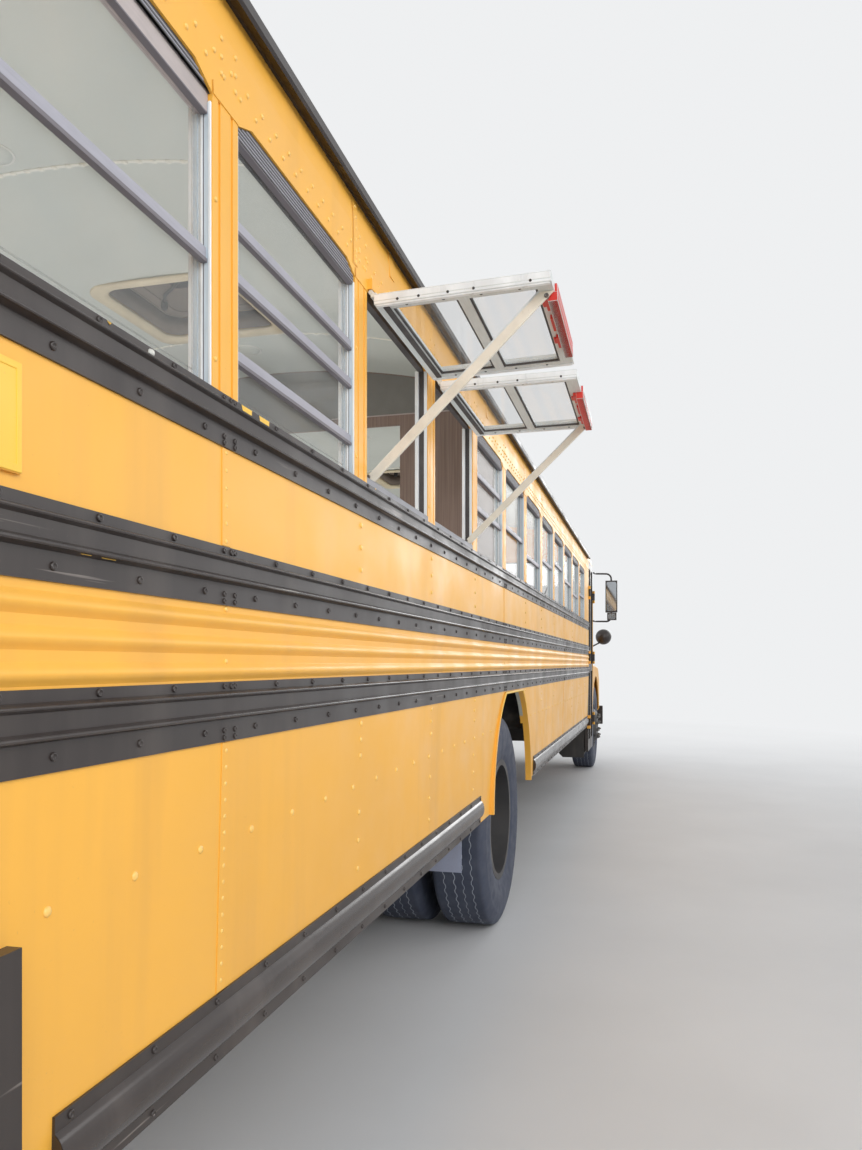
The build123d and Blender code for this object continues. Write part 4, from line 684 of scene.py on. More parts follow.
def panel_laps(laps, side):
    """Lapped edges beside the rivets of each seam, and the header's edge over each post."""
    for bay, (low, high) in product(SEAM_POSTS, ((0.772, 1.194), (1.527, 1.691))):
        start = post_station(bay) - 0.014
        if in_arch(start, low):
            continue
        verts = []
        for x, proud in ((0.0, 0.0), (0.0, 0.0016), (0.03, 0.0016), (0.031, 0.0)):
            verts += [on_side(side, start + x, z, proud) for z in (low, high)]
        laps.add(verts, [(0, 1, 3, 2), (2, 3, 5, 4), (4, 5, 7, 6)])
    for bay in HEADER_SEAMS:
        start = post_station(bay) - 0.060
        profile = [(skin_y(z) + 0.0014, z) for z in (2.296, 2.39, 2.42, 2.452)]
        laps.along(side, profile, start, start + 0.034)
    rolled = ((0, 0), (0.0018, 0.0006), (0.0014, 0.022), (0, 0.0225))
    profile = [(HALF_WIDTH + out, HEADER_EDGE + up) for out, up in rolled]
    for bay in range(-1, BAYS):
        start = max(post_station(bay) - HEADER_EDGE_REACH, REAR_CAP)
        end = min(post_station(bay) + HEADER_EDGE_REACH, SIDE_FRONT)
        laps.along(side, profile, start, end, False)


def rail_bolts(bolts, side):
    """Ring-headed bolts on both flanges of the rails, with a close group where two lengths meet."""

    def bolt(station, z, head=BOLT):
        bolts.bolt(on_side(side, station, z, RAIL_FLANGE), (0, side, 0), *head)

    for bottom, height in RAILS:
        for station in stepped(0.2, SIDE_FRONT - 0.03, RIVET_PITCH):
            for share, shift in ((0.19, 0.0), (0.925, 0.09)):
                if station + shift < SIDE_FRONT - 0.02:
                    bolt(station + shift, bottom + share * height)
    for start, end in ((0.43, 3.07), (4.74, SIDE_FRONT - 0.03)):
        for station in spread(start, end, int((end - start) / RIVET_PITCH)):
            bolt(station, 0.6655)
            bolt(station, 0.7595)
    for bay, (bottom, height), shift in product(SEAM_POSTS, RAILS, (-0.012, 0.026)):
        for share in (0.07, 0.19, 0.925):
            bolt(post_station(bay) + shift, bottom + share * height, JOINT_BOLT)


def rail_ridges(ridges, side):
    """Rolled edges on the rails' ridges, and a rounded face over the skirt rail's bead."""
    for (bottom, height), (low, high) in product(RAILS, ((0.40, 0.468), (0.762, 0.818))):
        middle, half = bottom + (low + high) / 2 * height, (high - low) / 2 * height
        profile = []
        for t in spread(0, math.pi, 8):
            out = 0.0098 + 0.0072 * math.sin(t) ** 0.6
            profile.append((HALF_WIDTH + out, middle - half * math.cos(t)))
        ridges.along(side, profile, REAR_CAP, SIDE_FRONT)
    levels = [(SKIRT_BOTTOM + SKIRT_RAIL * share, proud) for share, proud in SKIRT_BEAD]
    for start, end in ((0.40, 3.088), (4.717, SIDE_FRONT)):
        ridges.along(side, [(skin_y(z) + proud, z) for z, proud in levels], start, end)


def rib_crests(crests, side):
    """Soft rounded crests over the three stiffening ribs."""
    for height in RIBS:
        profile = []
        for t in spread(-1, 1, 12):
            out = 0.0088 * math.cos(math.pi / 2 * t) ** 1.3
            profile.append((HALF_WIDTH + out, height + 0.0145 * t))
        crests.along(side, profile, REAR_CAP, SIDE_FRONT)


def blank_plate(plate, side):
    """Raised border and field of the plate that bears no words."""
    spans = ((0.125, 0.3255, 1.544, 1.6695), (0.133, 0.3165, 1.553, 1.6605))
    border, field = ([(at(x0), z0), (at(x1), z0), (at(x1), z1), (at(x0), z1)] for x0, x1, z0, z1 in spans)
    foot, field_face, border_face = (side * (HALF_WIDTH + out) for out in (0.0055, 0.0066, 0.0078))
    plate.frame(border, field, "y", foot, border_face)
    plate.band(field, "y", foot, field_face)


def arch_edge(edge, side):
    """Rolled edge of the rear wheel arch, straight below the floor rail."""
    radius = ARCH_RADIUS - 0.002
    points = []
    for t in spread(0, math.pi, 40):
        station = REAR_AXLE + radius * math.cos(t)
        z = SKIRT_BOTTOM + radius * math.sin(t)
        if z < TUCK_START - 0.01:
            points.append(on_side(side, station, z, 0.005))
    edge.tube(points, 0.0055, 8)


def paint_chips(chips, side):
    """Yellow chips in the rails' black paint."""
    near, far = side * (HALF_WIDTH + 0.0035), side * (HALF_WIDTH + 0.0043)
    for x0, x1, z0, z1 in FLANGE_CHIPS:
        outline = [(x0, z1), (x0 + 0.003, (z0 + z1) / 2), (x0 + 0.007, z0 + 0.002)]
        outline += [(x1 - 0.006, z0), (x1 - 0.001, z0 + 0.005), (x1, z1)]
        chips.band([(at(x), z) for x, z in outline], "y", near, far)
    near, far = side * (HALF_WIDTH + 0.010), side * (HALF_WIDTH + 0.0112)
    for i in range(26):
        station = random.uniform(0.2, 4.5)
        z = random.choice(CHIP_LINES)
        length = random.uniform(0.006, 0.03)
        chips.box((at(station), near, z - 0.0006), (at(station + length), far, z + 0.0006))


def rail_clip(clip, side):
    """White clip on the window rail's upper flange."""
    clip.dome(on_side(side, 0.590, 1.7735, RAIL_FLANGE), (0, side, 0), 0.006, 0.006, 10)


# Builder, material, slot and bevel of what each side carries
SIDE_PIECES = (
    (side_rivets, rivet_highlight_paint, "body_yellow", 0.0),
    (panel_laps, yellow_paint, "body_yellow", 0.0),
    (rail_bolts, black_paint, "trim_black", 0.0),
    (rail_ridges, gloss_black, "trim_black", 0.0),
    (rib_crests, yellow_paint, "body_yellow", 0.0),
    (blank_plate, bright_yellow, None, 0.0015),
    (arch_edge, bright_yellow, None, 0.0),
    (paint_chips, bright_yellow, None, 0.0),
    (rail_clip, white_paint, None, 0.0),
)
for (side, name), (build, material, slot, bevel) in product(SIDES, SIDE_PIECES):
    shape = Shape()
    build(shape, side)
    shape.done(f"{build.__name__}_{name}", material, slot=slot, bevel=bevel)


def hoop(shape, station, half, inset, proud):
    """Narrow strip across the roof's section, standing proud of it."""
    rings = []
    for angle in roof_angles(inset, 0.06) + [math.pi / 2]:
        corners = ((-half, 0), (-half, proud), (half, proud), (half, 0))
        rings.append([roof_spot(station + x, angle, inset, out)[0] for x, out in corners])
    shape.rings(rings, smooth=False)


# Roof seams and ceiling hoops, each with its rivets
ROOF_SEAMS = 7
FIRST_ROOF_SEAM = 0.38
ROOF_SEAM_PITCH = 1.4
LOWEST_ROOF_RIVET = 2.4905
outer_hoops, inner_hoops, roof_rivets, ceiling_rivets = Shape(), Shape(), Shape(), Shape()
for number in range(ROOF_SEAMS):
    station = FIRST_ROOF_SEAM + ROOF_SEAM_PITCH * number
    hoop(outer_hoops, station, 0.02, 0.0, 0.0022)
    hoop(inner_hoops, station, 0.006, LINING, -0.002)
    for angle in roof_angles(0, 0.05)[1:]:
        spot, normal = roof_spot(station, angle, 0, 0.0022)
        if spot[2] > LOWEST_ROOF_RIVET:
            roof_rivets.dome(spot, normal, 0.006, 0.003, 6)
        spot, normal = roof_spot(station, angle, LINING, -0.002)
        ceiling_rivets.dome(spot, -Vector(normal), 0.0105, 0.0045, 8)
outer_hoops.done("roof_seams", roof_paint, slot="body_yellow")
roof_rivets.done("roof_rivets", roof_paint, slot="body_yellow")
inner_hoops.done("ceiling_hoops", cream_seam, slot="ceiling_paint")
ceiling_rivets.done("ceiling_rivets", cream_seam, slot="ceiling_paint")

# Rounded squares round a roof hatch: width, corner radius, height over the lining, share of the roof's crown
HATCH_TRIM = (
    (0.645, 0.085, 0.003, 1),
    (0.645, 0.085, -0.005, 1),
    (0.635, 0.082, -0.009, 1),
    (0.57, 0.075, -0.011, 1),
    (0.536, 0.07, -0.004, 1),
    (0.531, 0.069, 0.008, 1),
    (0.5385, 0.07, 0.01, 1),
)
HATCH_SLEEVE = (
    (0.53, 0.069, 0.009, 1),
    (0.522, 0.066, 0.082, 0),
    (0.537, 0.068, 0.083, 0),
    (0.5385, 0.07, 0.012, 1),
)


def hatch_rings(station, levels, name, material, slot=None):
    """Closed skin over rounded squares that follow the crown of the roof."""
    rings = []
    for width, radius, height, share in levels:
        ring = []
        for x, y in rounded(width, width, radius, 8, (at(station), 0)):
            drop = CROWN_RADIUS - math.sqrt(CROWN_RADIUS**2 - y**2)
            ring.append((x, y, LINING_Z + height - drop * share))
        rings.append(ring)
    shape = Shape()
    shape.rings(rings, closed=True)
    shape.done(name, material, slot=slot)


def hatch_lid(station, number):
    """Liner under the lid, and its crank."""
    body = f"roof_hatch_lid_{number}"
    top = ROOF_TOP + 0.0445
    middle = (at(station), 0)
    liner = Shape()
    liner.band(rounded(0.51, 0.51, 0.06, middle=middle), "z", top - 0.006, top)
    liner.rim((0.42, 0.42, 0.05), (0.38, 0.38, 0.04), 6, middle, "z", top - 0.012, top - 0.005)
    liner.done(f"hatch_liner_{number}", hatch_liner, body, bevel=0.002)
    crank = Shape()
    foot = at(station) - 0.13
    knob = at(station) + 0.03
    crank.band(rounded(0.11, 0.08, 0.02, middle=(foot, 0)), "z", top - 0.03, top - 0.006)
    arm = [(foot, 0, top - 0.025), (foot + 0.01, 0.03, top - 0.045)]
    arm += [(foot + 0.07, 0.10, top - 0.042), (knob, 0.16, top - 0.03)]
    crank.tube(smooth_line(arm, 6), 0.008)
    crank.turned([(0.014, 0.0), (0.016, 0.02), (0.012, 0.035)], (knob, 0.16, top - 0.028), DOWNWARD, 16)
    crank.done(f"hatch_crank_{number}", gasket, body, bevel=0.002)


for number, station in enumerate((2.85, 6.35), 1):
    hatch_rings(station, HATCH_TRIM, f"hatch_trim_{number}", cream_plastic, "hatch_plastic")
    hatch_rings(station, HATCH_SLEEVE, f"hatch_sleeve_{number}", hatch_liner)
    hatch_lid(station, number)

# Flush dome lamps along the ceiling
lamps, rims = Shape(), Shape()
for station in (1.67, 3.36, 5.05, 6.74, 8.43):
    spot = (at(station), 0.0, LINING_Z)
    lamps.turned([(0.061, -0.001), (0.059, 0.005), (0.035, 0.009), (0.008, 0.010)], spot, DOWNWARD, 28)
    rims.turned([(0.068, -0.001), (0.068, 0.003), (0.064, 0.0055), (0.060, 0.002)], spot, DOWNWARD, 28)
lamps.done("dome_lamps", ceiling_paint)
rims.done("dome_lamp_rims", white_paint)

# Bay, opening angle, and where the prop and the latch sit along the sash of each push-out window
PUSH_OUT_ROWS = ((2, 91.5, -0.243, -0.03), (3, 90.5, 0.262, 0.06))
PUSH_OUT_BAYS = [row[0] for row in PUSH_OUT_ROWS]
# Heights of the rails between the sashes, bay by bay
SASH_RAILS = [(1.986,), (1.856, 1.994, 2.086), (), (), (1.960, 2.100)]
SASH_RAILS += [(z,) for z in (1.990, 1.930, 1.990, 2.050, 1.990, 1.940, 1.990)]
# Upright strips on the jambs, from the skin inwards: piece, outer and inner distance from the
# middle, thickness, added height. A fixed window has a white lip, a pale track, a grey seal, a
# white strip either side of the glass, a track and a white cover.
FIXED_STRIPS = (
    ("window_jambs", 1.2185, 1.2145, 0.0045, 0.0),
    ("sash_tracks", 1.2145, 1.2055, 0.0025, 0.0),
    ("sash_lips", 1.2055, 1.204, 0.0035, 0.0),
    ("window_jambs", 1.204, 1.2003, 0.0045, 0.0),
    ("window_jambs", 1.2003, 1.1948, 0.0025, 0.0),
    ("sash_tracks", 1.1948, 1.1875, 0.005, 0.0),
    ("window_jambs", 1.1875, 1.179, 0.0065, 0.02),
)
# An open window has a dark seal between two white strips
OPEN_STRIPS = (
    ("window_jambs", 1.2165, 1.2065, 0.0035, 0.0),
    ("weatherstrips", 1.206, 1.1905, 0.0035, 0.0),
    ("window_jambs", 1.19, 1.1785, 0.011, 0.0),
)
# Width of the edge strip on a fixed pane, and its outer and inner distance from the middle
PANE_EDGE = 0.0242
PANE_DEPTH = (1.1999, 1.1951)
# Level bars of a window: piece, inset from the jambs, outer and inner distance from the middle,
# bottom and top. The open one has a seal, and a grey sill strip with its lip.
OPEN_BARS = (
    ("weatherstrips", 0, 1.205, 1.187, 2.2635, 2.2895),
    ("window_sills", 0, 1.2195, 1.1805, WINDOW_SILL, 1.7995),
    ("window_sills", 0, 1.2195, 1.2165, 1.7995, 1.8),
)
FIXED_BARS = (
    ("pane_edges", PANE_EDGE, *PANE_DEPTH, WINDOW_SILL + 0.004, WINDOW_SILL + PANE_EDGE),
    ("window_sills", 0, 1.2185, 1.188, WINDOW_SILL, WINDOW_SILL + 0.004),
)
# The first window's sash is down, with its broad top bar in sight
LOWERED_BARS = (
    ("sash_top", 0, 1.212, 1.189, 2.2345, 2.2705),
    ("sash_lips", 0.004, 1.213, 1.2005, 2.2315, 2.2345),
)
RAISED_BARS = (("sash_lips", 0.003, 1.215, 1.201, 2.2475, 2.25),)
# Both bars of a rail between sashes, with heights counted from the rail's own; the darker lower lip is
# painted shade of the rail's underside
RAIL_BARS = (
    ("sash_rails", 0.0035, 1.2105, 1.2005, 0.008, 0.0265),
    ("sash_lips", 0.0035, 1.2125, 1.2005, 0.001, 0.008),
)
# Piece, material, slot and bevel
WINDOW_PIECES = (
    ("weatherstrips", grey_gasket, None, 0.0006),
    ("weatherstrip_ribs", sash_grey, None, 0.0),
    ("sash_rails", sash_grey, "window_aluminium", 0.0012),
    ("sash_lips", seal_grey_and_lip_shade, "window_aluminium", 0.0012),
    ("sash_top", mauve_grey, "window_aluminium", 0.0012),
    ("sash_tracks", blue_track, "window_aluminium", 0.0006),
    ("window_sills", sill_grey, "window_aluminium", 0.0012),
    ("pane_edges", window_glass, None, 0.0),
)


def window_strips(parts, side, bay):
    """Strips and bars of one window."""
    left, right = at(bay_start(bay)), at(bay_start(bay) + WINDOW_WIDTH)
    ends = ((left, 1), (right, -1))

    def bars(rows, base=0.0):
        for piece, inset, outer, inner, low, high in rows:
            near, far = (left + inset, side * outer, base + low), (right - inset, side * inner, base + high)
            parts[piece].box(near, far)

    def jamb_strips(rows, low, high):
        for (x, way), (piece, outer, inner, thick, rise) in product(ends, rows):
            parts[piece].box((x, side * outer, low), (x + way * thick, side * inner, high + rise))

    if bay in PUSH_OUT_BAYS:
        jamb_strips(OPEN_STRIPS, 1.801, HEADER_EDGE - 0.002)
        bars(OPEN_BARS)
        return
    jamb_strips(FIXED_STRIPS, WINDOW_SILL + 0.002, 2.2525)
    bars(FIXED_BARS)
    bars(RAISED_BARS if bay else LOWERED_BARS)
    for z in SASH_RAILS[bay]:
        bars(RAIL_BARS, z)
    for x, way in ends:
        low = (x + way * 0.003, side * PANE_DEPTH[0], WINDOW_SILL + 0.004)
        high = (x + way * PANE_EDGE, side * PANE_DEPTH[1], 2.251)
        parts["pane_edges"].box(low, high)
    # Ribbed weatherstrip under the header, straight along its lower edge
    foot = 2.271 if bay == 0 else 2.250
    edge, top = HEADER_EDGE - 0.0005, WINDOW_TOP - 0.0005
    outline = [(left, foot), (right, foot), (right, edge), (right - HEADER_CHAMFER, top)]
    outline += [(left + HEADER_CHAMFER, top), (left, edge)]
    parts["weatherstrips"].band(outline, "y", side * 1.2155, side * 1.189)
    for z in spread(2.2525, 2.2805, 4):
        if z > foot:
            cut = max(0.001, HEADER_CHAMFER * (z + 0.003 - HEADER_EDGE) / HEADER_DIP)
            profile = [(1.2154, z), (1.2168, z + 0.0006), (1.2168, z + 0.0022), (1.2154, z + 0.0028)]
            parts["weatherstrip_ribs"].along(side, profile, left - at(0) + cut, right - at(0) - cut, False)


jambs = Shape()
for side, name in SIDES:
    parts = {row[0]: Shape() for row in WINDOW_PIECES}
    for bay in range(BAYS):
        window_strips({"window_jambs": jambs, **parts}, side, bay)
    for piece, material, slot, bevel in WINDOW_PIECES:
        parts[piece].done(f"{piece}_{name}", material, slot=slot, bevel=bevel)
piece = jambs.done("window_jambs", bright_alu, slot="window_aluminium", bevel=0.0006)
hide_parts("window_frames")

PIVOT_OUT = 0.008
PIVOT_Z = 2.268
# Half width of a sash, both ends of its height from the hinge, and the depths of its face and its back
SASH = (0.3, 0.008, 0.455, -0.008, -0.033)
SASH_BAR = 0.038
LATCH_HALF = 0.205
PROP_HALF = 0.0046
PROP_FOOT = WINDOW_SILL + 0.0183


def push_out_window(side, name, number, bay, angle, prop_u, latch_u):
    """Beads, seals, holes, latch and prop of one propped sash."""
    turn = math.radians(angle)
    hinge = Vector((at(bay_start(bay) + WINDOW_WIDTH / 2), side * (HALF_WIDTH + PIVOT_OUT), PIVOT_Z))
    down = Vector((0, side * math.sin(turn), -math.cos(turn)))
    out = Vector((0, side * math.cos(turn), math.sin(turn)))
    which = f"{name}_{number}"
    body = f"push_out_window_{which}"
    half, start, end, face, back = SASH

    def sash(u, v, w):
        """Point of the sash: along the hinge, towards the free edge, outwards when shut."""
        return hinge + Vector((u, 0, 0)) + down * v + out * w

    def slab(shape, u, v, w):
        shape.add([sash(*corner) for corner in product(u, v, w)], CUBE)

    # Bright bead round the outside face, a strip inside along each side bar, and two white covers on its edge
    strips = Shape()
    bead = (face - 0.001, face + 0.003)
    edge = half - 0.003
    for v in ((start + 0.003, start + 0.012), (end - 0.012, end - 0.003)):
        slab(strips, (-edge, edge), v, bead)
    for u in mirrored(half - 0.012, edge):
        slab(strips, u, (start + 0.012, end - 0.012), bead)
    for u in mirrored(half - 0.014, half - 0.002):
        slab(strips, u, (start + 0.004, end - 0.004), (back - 0.004, back + 0.001))
    for u in mirrored(half - 0.002, half + 0.0004):
        for w in ((back + 0.009, face - 0.001), (back + 0.001, back + 0.007)):
            slab(strips, u, (start + 0.001, end - 0.001), w)
    strips.done(f"sash_beads_{which}", bright_alu, body, "window_aluminium", bevel=0.001)

    # Seals round both panes, and one strip beside the hinge
    seal = Shape()
    inner_u = half - SASH_BAR
    v_low, v_high = start + SASH_BAR, end - SASH_BAR
    middle = (start + end) / 2
    for v0, v1 in ((v_low, middle - 0.014), (middle + 0.014, v_high)):
        for v in ((v0, v0 + 0.006), (v1 - 0.006, v1)):
            slab(seal, (-inner_u, inner_u), v, (-0.031, -0.0255))
        for u in mirrored(inner_u - 0.006, inner_u):
            slab(seal, u, (v0, v1), (-0.031, -0.0255))
    inset = half - 0.02
    slab(seal, (-inset, inset), (v_low - 0.02, v_low - 0.004), (back - 0.003, back + 0.001))
    seal.done(f"sash_seals_{which}", grey_gasket, body, bevel=0.0008)

    # Drain holes as black discs, their black a painted shade of the holes' insides, and dark screws along the
    # side bars
    holes = Shape()
    for way, v in product((-1, 1), (0.07, 0.125, 0.2, 0.265, 0.405)):
        spot = sash(way * (half + 0.0006), v, -0.026)
        holes.turned([(0.0035, -0.0008), (0.0035, 0.0008)], spot, FORWARD, 12)
    for way, v in product((-1, 1), spread(start + 0.08, end - 0.08, 3)):
        spot = sash(way * (half - 0.022), v, back)
        holes.turned([(0.004, -0.0006), (0.0035, 0.0012)], spot, -out, 12)
    holes.done(f"sash_holes_{which}", gasket, body)

    # Red latch: a long notched plate over the free edge, with two hooks, a hair outside the sash
    latch = Shape()
    hair = 0.0003
    ends = (latch_u - LATCH_HALF - hair, latch_u + LATCH_HALF + hair)
    slab(latch, ends, (end - 0.016 - hair, end + 0.008), (back - 0.022, back + 0.001))
    slab(latch, ends, (end + hair, end + 0.008), (back, face - 0.004))
    for low, high in ((-0.205, -0.12), (-0.07, 0.02), (0.07, 0.15)):
        lug = (back - 0.012, back - 0.0005)
        slab(latch, (latch_u + low, latch_u + high), (end - 0.0265, end - 0.012), lug)
    for u in (latch_u - 0.15, latch_u + 0.11):
        hook = (back - 0.005, back - 0.0005)
        slab(latch, (u - 0.02, u + 0.02), (end - 0.036, end - 0.014), hook)
    latch.done(f"latch_{which}", red_paint, body, "stop_red", bevel=0.0015)

    # Cream prop from the sill strip to the free edge's bar, bolted at both ends
    prop, feet = Shape(), Shape()
    verts = []
    for u in (prop_u - PROP_HALF, prop_u + PROP_HALF):
        verts += [(hinge.x + u, side * 1.1856, PROP_FOOT), (hinge.x + u, side * 1.2204, PROP_FOOT)]
        verts += [sash(u, v, back - hair) for v in (0.4554, 0.4206)]
    prop.add(verts, [(0, 1, 2, 3), (7, 6, 5, 4), (0, 4, 5, 1), (1, 5, 6, 2), (2, 6, 7, 3), (3, 7, 4, 0)])
    prop.done(f"prop_{which}", prop_cream, body, bevel=0.001)
    for way in BOTH:
        u = prop_u + PROP_HALF * way
        for spot in ((hinge.x + u, side * 1.204, PROP_FOOT + 0.012), sash(u, 0.437, back - 0.012)):
            feet.bolt(spot, (way, 0, 0), 0.006, 0.003)
    feet.done(f"prop_bolts_{which}", steel, body)


for side, name in SIDES:
    for number, row in enumerate(PUSH_OUT_ROWS, 1):
        push_out_window(side, name, number, *row)

# Rail and head panel over the partition, and both sides and the top of its doorway. The panel's grey over the
# doorway is painted shade, standing for the dark ceiling beyond
PARTITION = at(3.71)
HEAD_Z = 2.595
DOORWAY = (-0.30, 0.16)
DOORWAY_TOP = 2.5405
trim = Shape()
for low, high in ((-1.15, DOORWAY[0]), (DOORWAY[1], 1.15)):
    trim.box((PARTITION - 0.006, low, HEAD_Z - 0.005), (PARTITION + 0.001, high, HEAD_Z))
trim.done("partition_rail", mauve_grey)
panel = Shape()
inset = LINING + 0.006
spots = [roof_spot(0, angle, inset)[0] for angle in roof_angles(inset, 0.04)]
points = [(y, z) for x, y, z in spots if z > HEAD_Z]
edge_y = points[0][0]
points = [(edge_y, HEAD_Z), *points, (-edge_y, HEAD_Z)]
points += [(DOORWAY[1], HEAD_Z), (DOORWAY[1], DOORWAY_TOP)]
points += [(DOORWAY[0], DOORWAY_TOP), (DOORWAY[0], HEAD_Z)]
panel.band(points, "x", PARTITION - 0.003, PARTITION + 0.001)
panel.done("partition_head", grey_head_panel_and_doorway_shade)

# Radius and half width of a tyre: bead, side wall with two rings, shoulder, then the worn tread
TYRE_RADIUS = WHEEL_Z
NUT_CIRCLE = 0.1425
TYRE = [(0.2862, 0.106), (0.292, 0.112), (0.305, 0.118), (0.325, 0.1235), (0.329, 0.1262)]
TYRE += [(0.341, 0.127), (0.372, 0.1358), (0.402, 0.1393), (0.432, 0.1387), (0.461, 0.1345)]
TYRE += [(0.464, 0.1352), (0.474, 0.1335), (0.494, 0.1268), (0.511, 0.1192), (0.5205, 0.1128)]
TREAD = ((0.0023, 0.106), (0.0012, 0.098), (0.001, 0.08), (0.0006, 0.05), (0.0004, 0.02))
TYRE += [(TYRE_RADIUS - worn, half) for worn, half in TREAD]
TYRE += [(r, -half) for r, half in reversed(TYRE)]
# End of the bus, tyre node, wheel body, axle, distances of its tyres from the middle, and of its disc
WHEELS = (
    ("front", "front_tyre", "front_wheel", FRONT_AXLE, (1.025,), 1.19),
    ("rear", "rear_tyres", "rear_wheels", REAR_AXLE, (1.03, 0.70), 0.865),
)


def tread_lines(shape, centre, sides=240):
    """Worn grooves: four thin zigzag lines round the tread, pale with dust."""
    centre = Vector(centre)
    for middle, half in ((-0.069, 0.0016), (-0.026, 0.0012), (0.015, 0.002), (0.064, 0.0016)):
        rings = []
        for i, (c, s) in enumerate(circle(sides)):
            radial = Vector((c, 0, s))
            top = centre + radial * (TYRE_RADIUS - 0.0002)
            low = centre + radial * (TYRE_RADIUS - 0.003)
            w = middle + 0.0035 * (1 if i % 4 < 2 else -1)
            corners = ((low, w - half), (top, w - half), (top, w + half), (low, w + half))
            rings.append([spot + Vector((0, y, 0)) for spot, y in corners])
        shape.rings(rings, closed=True, smooth=False)


def treaded_tyres(side, node, body, station, offsets):
    """Tyres of one wheel body, in place of its node."""
    tyre, grooves = Shape(), Shape()
    for y in offsets:
        centre = (at(station), side * y, WHEEL_Z)
        tyre.turned(TYRE, centre, (0, 1, 0), 120, closed=True)
        tread_lines(grooves, centre)
    piece = tyre.done(f"{node}_treaded", tyre_rubber_blue_reflection, body, "tyre")
    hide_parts(node)
    grooves.done(f"{node}_grooves", tread_dust, body, "tyre")


def wheel_nuts(side, piece, body, station, disc_y):
    """Ten nuts with their studs on a wheel's disc."""
    fittings = Shape()
    outward = (0, side, 0)
    for c, s in circle(10, 0.5):
        spot = (at(station) + NUT_CIRCLE * c, side * (disc_y - 0.002), WHEEL_Z + NUT_CIRCLE * s)
        fittings.nut(spot, outward, 0.019, 0.026)
        fittings.turned([(0.0105, 0.02), (0.0105, 0.038), (0.009, 0.04)], spot, outward, 12)
    fittings.done(piece, steel, body)


for (end, node, body, station, offsets, disc_y), (side, name) in product(WHEELS, SIDES):
    treaded_tyres(side, f"{node}_{name}", f"{body}_{name}", station, offsets)
    wheel_nuts(side, f"{end}_wheel_nuts_{name}", f"{body}_{name}", station, disc_y)

# Chrome bezels of the head lamps and the turn lamps beside them
NOSE = at(11.64)
HEAD_LAMP_Z = 0.93
HEAD_BEZEL = [(0.118, -0.001), (0.118, 0.018), (0.112, 0.03), (0.098, 0.03), (0.0955, 0.012)]
front = Shape()
for side in BOTH:
    front.turned(HEAD_BEZEL, (NOSE, side * 0.89, HEAD_LAMP_Z), FORWARD, 40)
    middle = (side * 1.05, HEAD_LAMP_Z)
    front.rim((0.096, 0.138, 0.012), (0.078, 0.118, 0.008), 4, middle, "x", NOSE, NOSE + 0.029)
front.done("lamp_bezels", chrome, "hood")

# Gaskets of the windshield's halves, then of the rear wall's windows and the rear door's two
WINDSHIELD_FOOT = 9.76
GLASS_LEAN = 0.13 / 0.86
# Inset and stand-off of the points of the windshield gasket's section
GASKET = ((0.0, -0.002), (-0.014, -0.002), (-0.014, 0.006), (-0.006, 0.011), (0.008, 0.011), (0.012, 0.002))
gaskets = Shape()
for side in BOTH:
    rings = []
    for inset, out in GASKET:
        outline = rounded(1.03 - 2 * inset, 0.80 - 2 * inset, 0.05 - min(inset, 0.0), 5, (side * 0.545, 2.12))
        rings.append([(at(WINDSHIELD_FOOT - (z - 1.70) * GLASS_LEAN + out), y, z) for y, z in outline])
    gaskets.rings(rings, closed=True)
for side in BOTH:
    middle = (side * 0.83, 2.03)
    gaskets.rim((0.532, 0.492, 0.06), (0.5, 0.46, 0.045), 5, middle, "x", at(-0.008), at(0.014))
for low, high in ((1.18, 1.56), (1.80, 2.44)):
    outer, inner = (0.744, high - low + 0.024, 0.07), (0.70, high - low - 0.02, 0.05)
    gaskets.rim(outer, inner, 5, (0, (low + high) / 2), "x", at(-0.006), at(0.016))
gaskets.done("glass_gaskets", gasket)

# Wipers: a bent arm on a boss, and a blade, each over the leaning glass
wipers = Shape()
glass_x = at(WINDSHIELD_FOOT)
for side in BOTH:
    foot = Vector((glass_x + 0.012, side * 0.25, 1.66))
    tip = Vector((glass_x - 0.028, side * 0.62, 1.98))
    wipers.tube([foot, foot.lerp(tip, 0.5) + Vector((0.012, 0, 0)), tip], 0.006)
    wipers.tube([(glass_x + 0.004, side * 0.50, 1.77), (glass_x - 0.066, side * 0.70, 2.24)], 0.007)
    wipers.turned([(0.022, 0), (0.022, 0.02), (0.012, 0.028)], foot - Vector((0.012, 0, 0)), FORWARD, 16)
wipers.done("wipers", black_paint)

# Mirror glasses: a tall flat one over a small one on each side
MIRROR_X = at(9.82)
glasses = Shape()
for side in BOTH:
    for y, z, width, height in ((1.4225, 2.115, 0.115, 0.34), (1.4275, 1.8825, 0.085, 0.068)):
        outline = rounded(width, height, 0.02, 4, (side * y, z))
        glasses.band(outline, "x", MIRROR_X - 0.0015, MIRROR_X + 0.002)
glasses.done("mirror_faces", mirror_glass)

